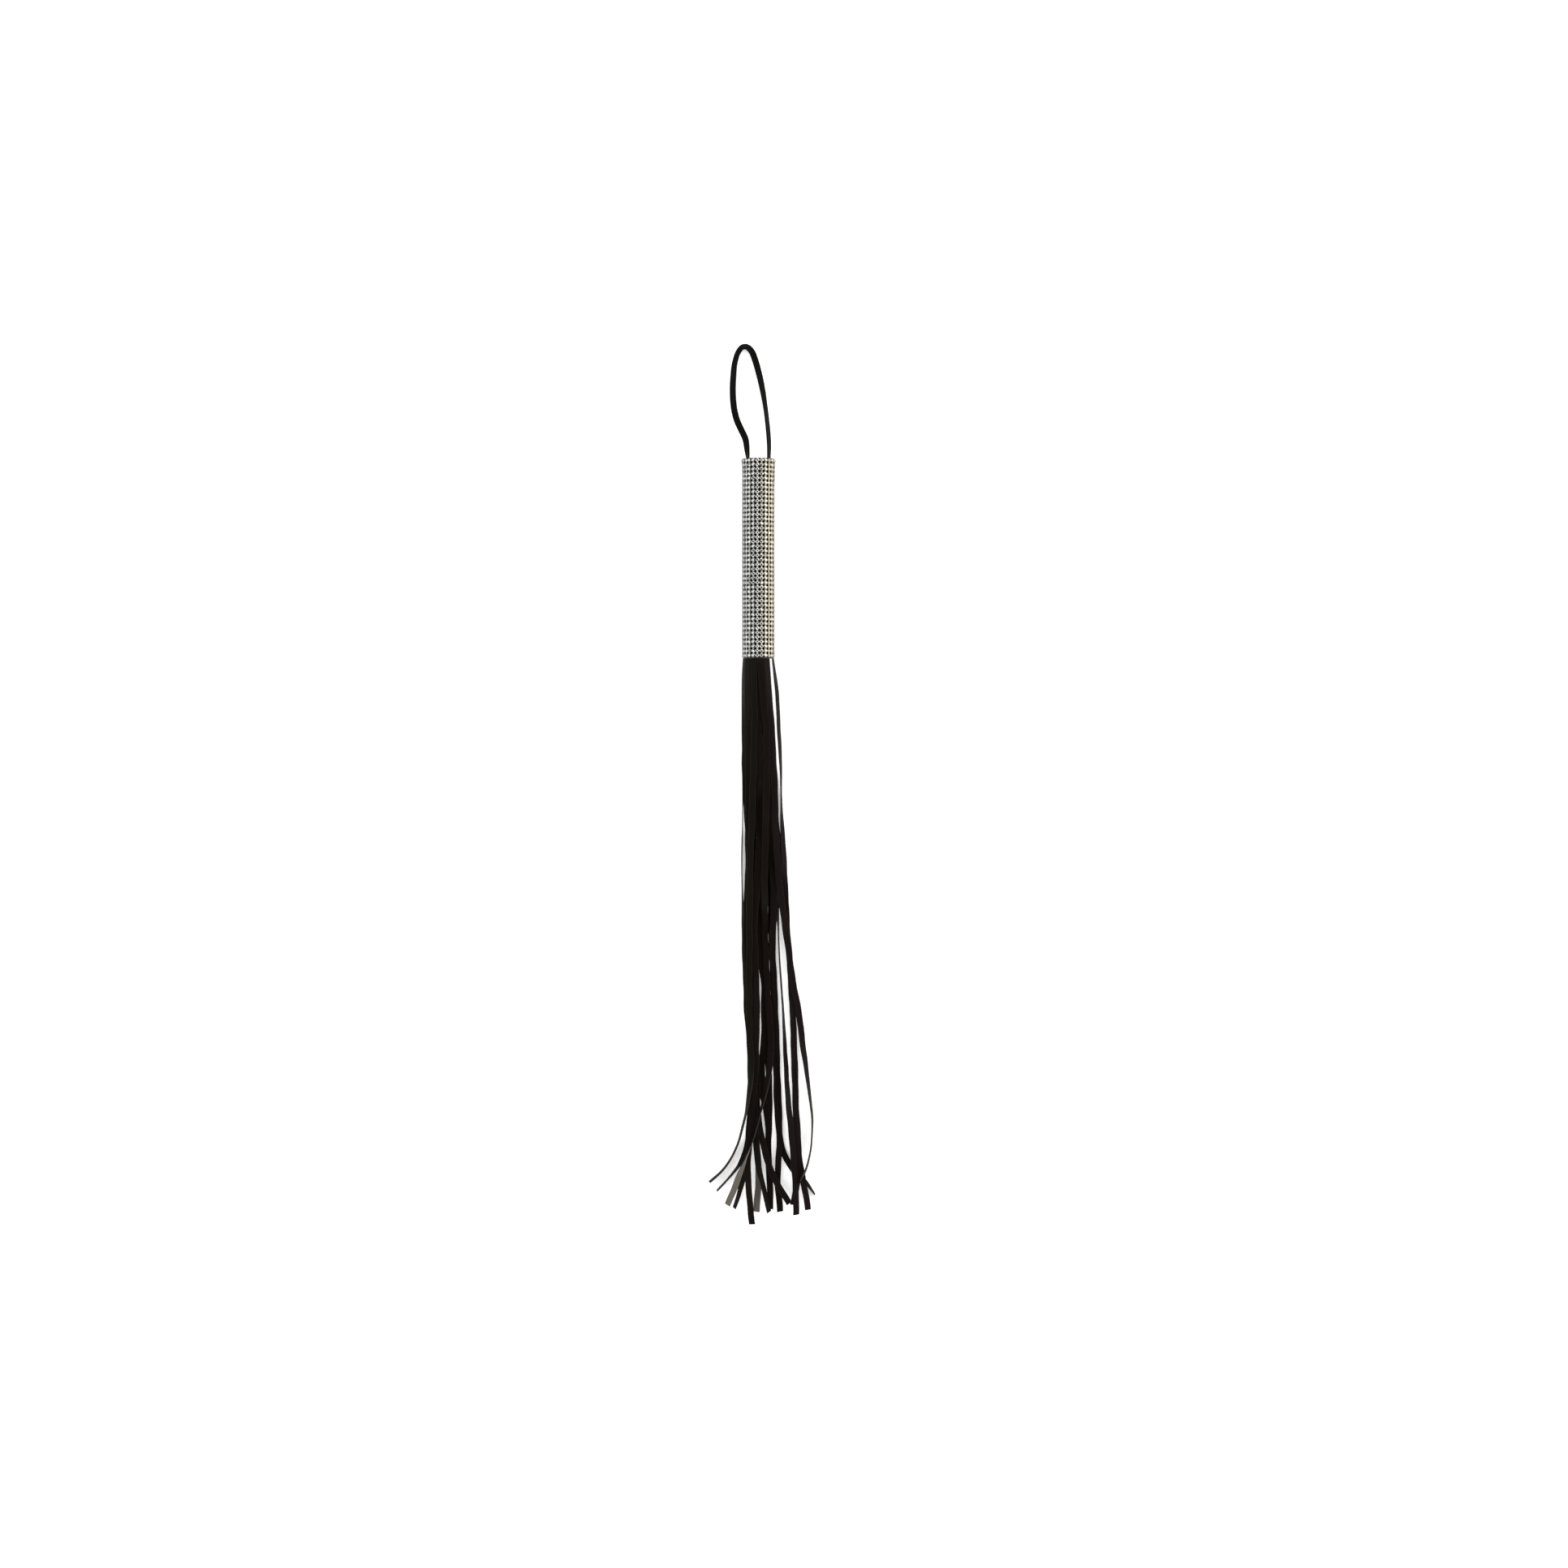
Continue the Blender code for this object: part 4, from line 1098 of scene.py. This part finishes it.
class WHIP_OT_stones(bpy.types.Operator):
    """Sets the stones and their cups round the grip, over a cloth backing"""

    bl_idname = "whip.stones"
    bl_label = "Stones"

    def execute(self, context):
        settings = context.scene.whip_stones
        silver, warm_lit_colour = tuple(settings.silver), tuple(settings.warm_lit_colour)
        cup = stone_cup("stone_cup", silver, warm_lit_colour)
        link = stone_cup("cup_link", shade(silver, LINK_TONE), shade(warm_lit_colour, LINK_TONE))
        self.add_sleeve("set_stones", settings, stone_unit, cut_stone(silver, warm_lit_colour), STONE_TILT)
        self.add_sleeve("stone_cups", settings, cup_unit, cup)
        self.add_sleeve("row_links", settings, link_along, link, shift=(0.0, 0.5))
        self.add_sleeve("column_links", settings, link_across, link, shift=(0.5, 0.0))
        self.add_backing(settings)
        return {"FINISHED"}

    @staticmethod
    def add_sleeve(name, settings, unit_of, material, tilt=0.0, shift=(0.0, 0.0)):
        """Copies of a unit, each turned a little about its own middle, then set round the grip.

        A point of a unit (a, b, r) goes to the angle of its column and the distance of its row:
        x = a cos + r sin, y = row + b, z = r cos - a sin. shift moves every unit by parts of the
        pitches round and along the grip.
        """
        points, faces = unit_of(settings)
        columns, rows = settings.columns, settings.rows
        random = np.random.default_rng(STONE_SEED)
        numbers = np.arange(columns) + shift[0], np.arange(rows - math.ceil(shift[1])) + shift[1]
        column, row = (v.ravel() for v in np.meshgrid(*numbers, indexing="ij"))
        count = len(column)
        lean = random.normal(0, 1, (count, 2)) * math.radians(tilt)
        tone = random.beta(1.3, 3.0, count)
        angle = np.radians(settings.first_column + 360 * column / columns)
        angle = angle + random.normal(0, math.radians(COLUMN_WANDER), count)
        distance = (row + 0.5) / rows * GRIP_LENGTH + random.normal(0, ROW_WANDER, count)
        local = points[None] - (0, 0, PIVOT)
        local = local + np.stack(
            [local[..., 2] * lean[:, :1], local[..., 2] * lean[:, 1:],
             -local[..., 0] * lean[:, :1] - local[..., 1] * lean[:, 1:]], -1
        )
        a, b, r = np.moveaxis(local, -1, 0)
        r = r + PIVOT + flare(angle, distance)[:, None]
        sine, cosine = np.sin(angle)[:, None], np.cos(angle)[:, None]
        places = np.stack(
            [a * cosine + r * sine, distance[:, None] + b, r * cosine - a * sine + AXIS_HEIGHT], -1
        )
        mesh = bpy.data.meshes.new(name)
        size = len(points)
        every = [tuple(v + size * k for v in f) for k in range(count) for f in faces]
        mesh.from_pydata((places + GRIP_ORIGIN).reshape(-1, 3).tolist(), [], every)
        # Painted warm light: 1 on the right side of the grip, where the warm light falls, and 0 on the left
        warm_light_side = np.clip((np.sin(angle) + 0.15) / 0.8, 0, 1)
        for key, value in (("tone", tone), ("warm_light_side", warm_light_side)):
            attribute = mesh.attributes.new(key, "FLOAT", "POINT")
            attribute.data.foreach_set("value", np.repeat(value, size).astype(np.float32))
        finish_mesh(mesh, STONE_SHARP)
        sleeve = add_piece(name, mesh, material)
        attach(sleeve, "handle")
        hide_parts("stone_sleeve")

    @staticmethod
    def add_backing(settings):
        """A cloth tube under the cups, turned from a closed outline of (radius, distance)."""
        outer, inner, rounding = BACKING_OUTER, BACKING_INNER, BACKING_FOLD
        far = GRIP_LENGTH + BACKING_BEYOND
        near = 0.2 * MM
        outline = np.array([
            (inner, near), (outer - rounding, near), (outer, near + rounding),
            *((outer, y) for y in np.linspace(near + 2 * MM, far - 2 * MM, 24)),
            (outer, far - rounding), (outer - rounding, far), (inner, far),
        ])
        mesh = turned_mesh("mesh_backing", outline, ROUND_STEPS)
        # Its near-black colour is partly painted shade for the gaps between the cups
        cloth = woven_cloth("whip_backing_cloth", tuple(settings.cloth), 0.5 * MM)
        backing = add_piece("mesh_backing", mesh, cloth)
        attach(backing, "handle")
        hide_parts("stone_sleeve")


def flare(angle, distance):
    """How far the mesh stands off the grip: it opens at the butt, over a longer run on the right.

    It is height * t^1.5 * |sin(angle)|, where t rises from 0 to 1 over the run that ends at the butt.
    """
    total = 0.0
    for side, (height, run) in ((1, FLARE_RIGHT), (-1, FLARE_LEFT)):
        t = np.clip((distance - GRIP_LENGTH + run) / run, 0, 1)
        total = total + height * t**1.5 * np.clip(side * np.sin(angle), 0, 1)
    return total


def turned_mesh(name, outline, steps):
    """A closed outline of (radius, distance) turned about the grip's axis.

    x = radius sin(turn), z = radius cos(turn), for steps even turns.
    """
    turn = math.tau * np.arange(steps) / steps
    radius, distance = outline.T
    grid = np.stack(
        [
            radius[None] * np.sin(turn)[:, None],
            np.broadcast_to(distance, (steps, len(outline))),
            radius[None] * np.cos(turn)[:, None] + AXIS_HEIGHT,
        ],
        -1,
    )
    count = len(outline)
    i, j = np.meshgrid(np.arange(steps), np.arange(count), indexing="ij")
    n, m = (i + 1) % steps, (j + 1) % count
    quads = np.stack([i * count + j, n * count + j, n * count + m, i * count + m], -1)
    mesh = bpy.data.meshes.new(name)
    mesh.from_pydata((grid + GRIP_ORIGIN).reshape(-1, 3).tolist(), [], quads.reshape(-1, 4).tolist())
    finish_mesh(mesh, TURNED_SHARP)
    return mesh


class WHIP_OT_grip_parts(bpy.types.Operator):
    """Gives the grip's own parts their finishes, and folds the wrap's hem in at the butt"""

    bl_idname = "whip.grip_parts"
    bl_label = "Grip parts"

    def execute(self, context):
        straps = context.scene.whip_straps
        # The wrap takes the same near-black colour, darkened as painted shade for the gaps between the cups
        cloth = woven_cloth("whip_grip_cloth", tuple(context.scene.whip_stones.cloth), 0.7 * MM)
        band = pressed_leather("whip_band_leather", shade(straps.edge, 0.5))
        loop_end = pressed_leather("whip_loop_end_leather", shade(straps.loop, 1.2))
        cap = pressed_leather("whip_cap_leather", (0.009, 0.008, 0.0075))
        steel = tack_steel()
        finishes = {
            "handle_core": turned_wood(),
            "grip_wrap": cloth,
            "butt_cap": cap,
            "inner_fringe_band": band,
            "outer_fringe_band": band,
            "loop_end_left": loop_end,
            "loop_end_right": loop_end,
            "band_tack_1": steel,
            "band_tack_2": steel,
            "loop_tack_left": steel,
            "loop_tack_right": steel,
        }
        for node, material in finishes.items():
            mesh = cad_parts[node].data
            mesh.materials.clear()
            mesh.materials.append(material)
        self.add_hem(cloth)
        return {"FINISHED"}

    @staticmethod
    def add_hem(cloth):
        """The wrap's hem, gathered into the butt: a ring with a soft dish and a flat underside.

        Its outline is (radius, depth below the butt), in millimetres.
        """
        outline = np.array(HEM_OUTLINE) * (1, -1) * MM + (0, GRIP_LENGTH)
        hem = add_piece("wrap_hem", turned_mesh("wrap_hem", outline, ROUND_STEPS), cloth)
        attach(hem, "handle")


class WHIP_PT_panel(bpy.types.Panel):
    """The whip's pieces and the values that a user would change"""

    bl_label = "Multi-tail whip"
    bl_idname = "WHIP_PT_panel"
    bl_space_type = "VIEW_3D"
    bl_region_type = "UI"
    bl_category = "Whip"

    def draw(self, context):
        for operator in OPERATORS:
            self.layout.operator(operator.bl_idname)
        for key, group in SETTINGS.items():
            box = self.layout.box()
            box.label(text=group.__doc__.rstrip("."))
            for name in group.__annotations__:
                box.prop(getattr(context.scene, key), name)


SETTINGS = {
    "whip_straps": WhipStrapSettings,
    "whip_stones": WhipStoneSettings,
    "whip_stage": WhipStageSettings,
}
OPERATORS = (
    WHIP_OT_stage,
    WHIP_OT_tails,
    WHIP_OT_wrist_loop,
    WHIP_OT_stones,
    WHIP_OT_grip_parts,
)


def register():
    for group in (*SETTINGS.values(), *OPERATORS, WHIP_PT_panel):
        bpy.utils.register_class(group)
    for key, group in SETTINGS.items():
        setattr(bpy.types.Scene, key, PointerProperty(type=group))


def unregister():
    for key in SETTINGS:
        delattr(bpy.types.Scene, key)
    for group in (WHIP_PT_panel, *OPERATORS, *SETTINGS.values()):
        bpy.utils.unregister_class(group)


def main():
    register()
    bpy.ops.whip.stage()
    bpy.ops.whip.tails()
    bpy.ops.whip.wrist_loop()
    bpy.ops.whip.stones()
    bpy.ops.whip.grip_parts()


if __name__ == "__main__":
    main()
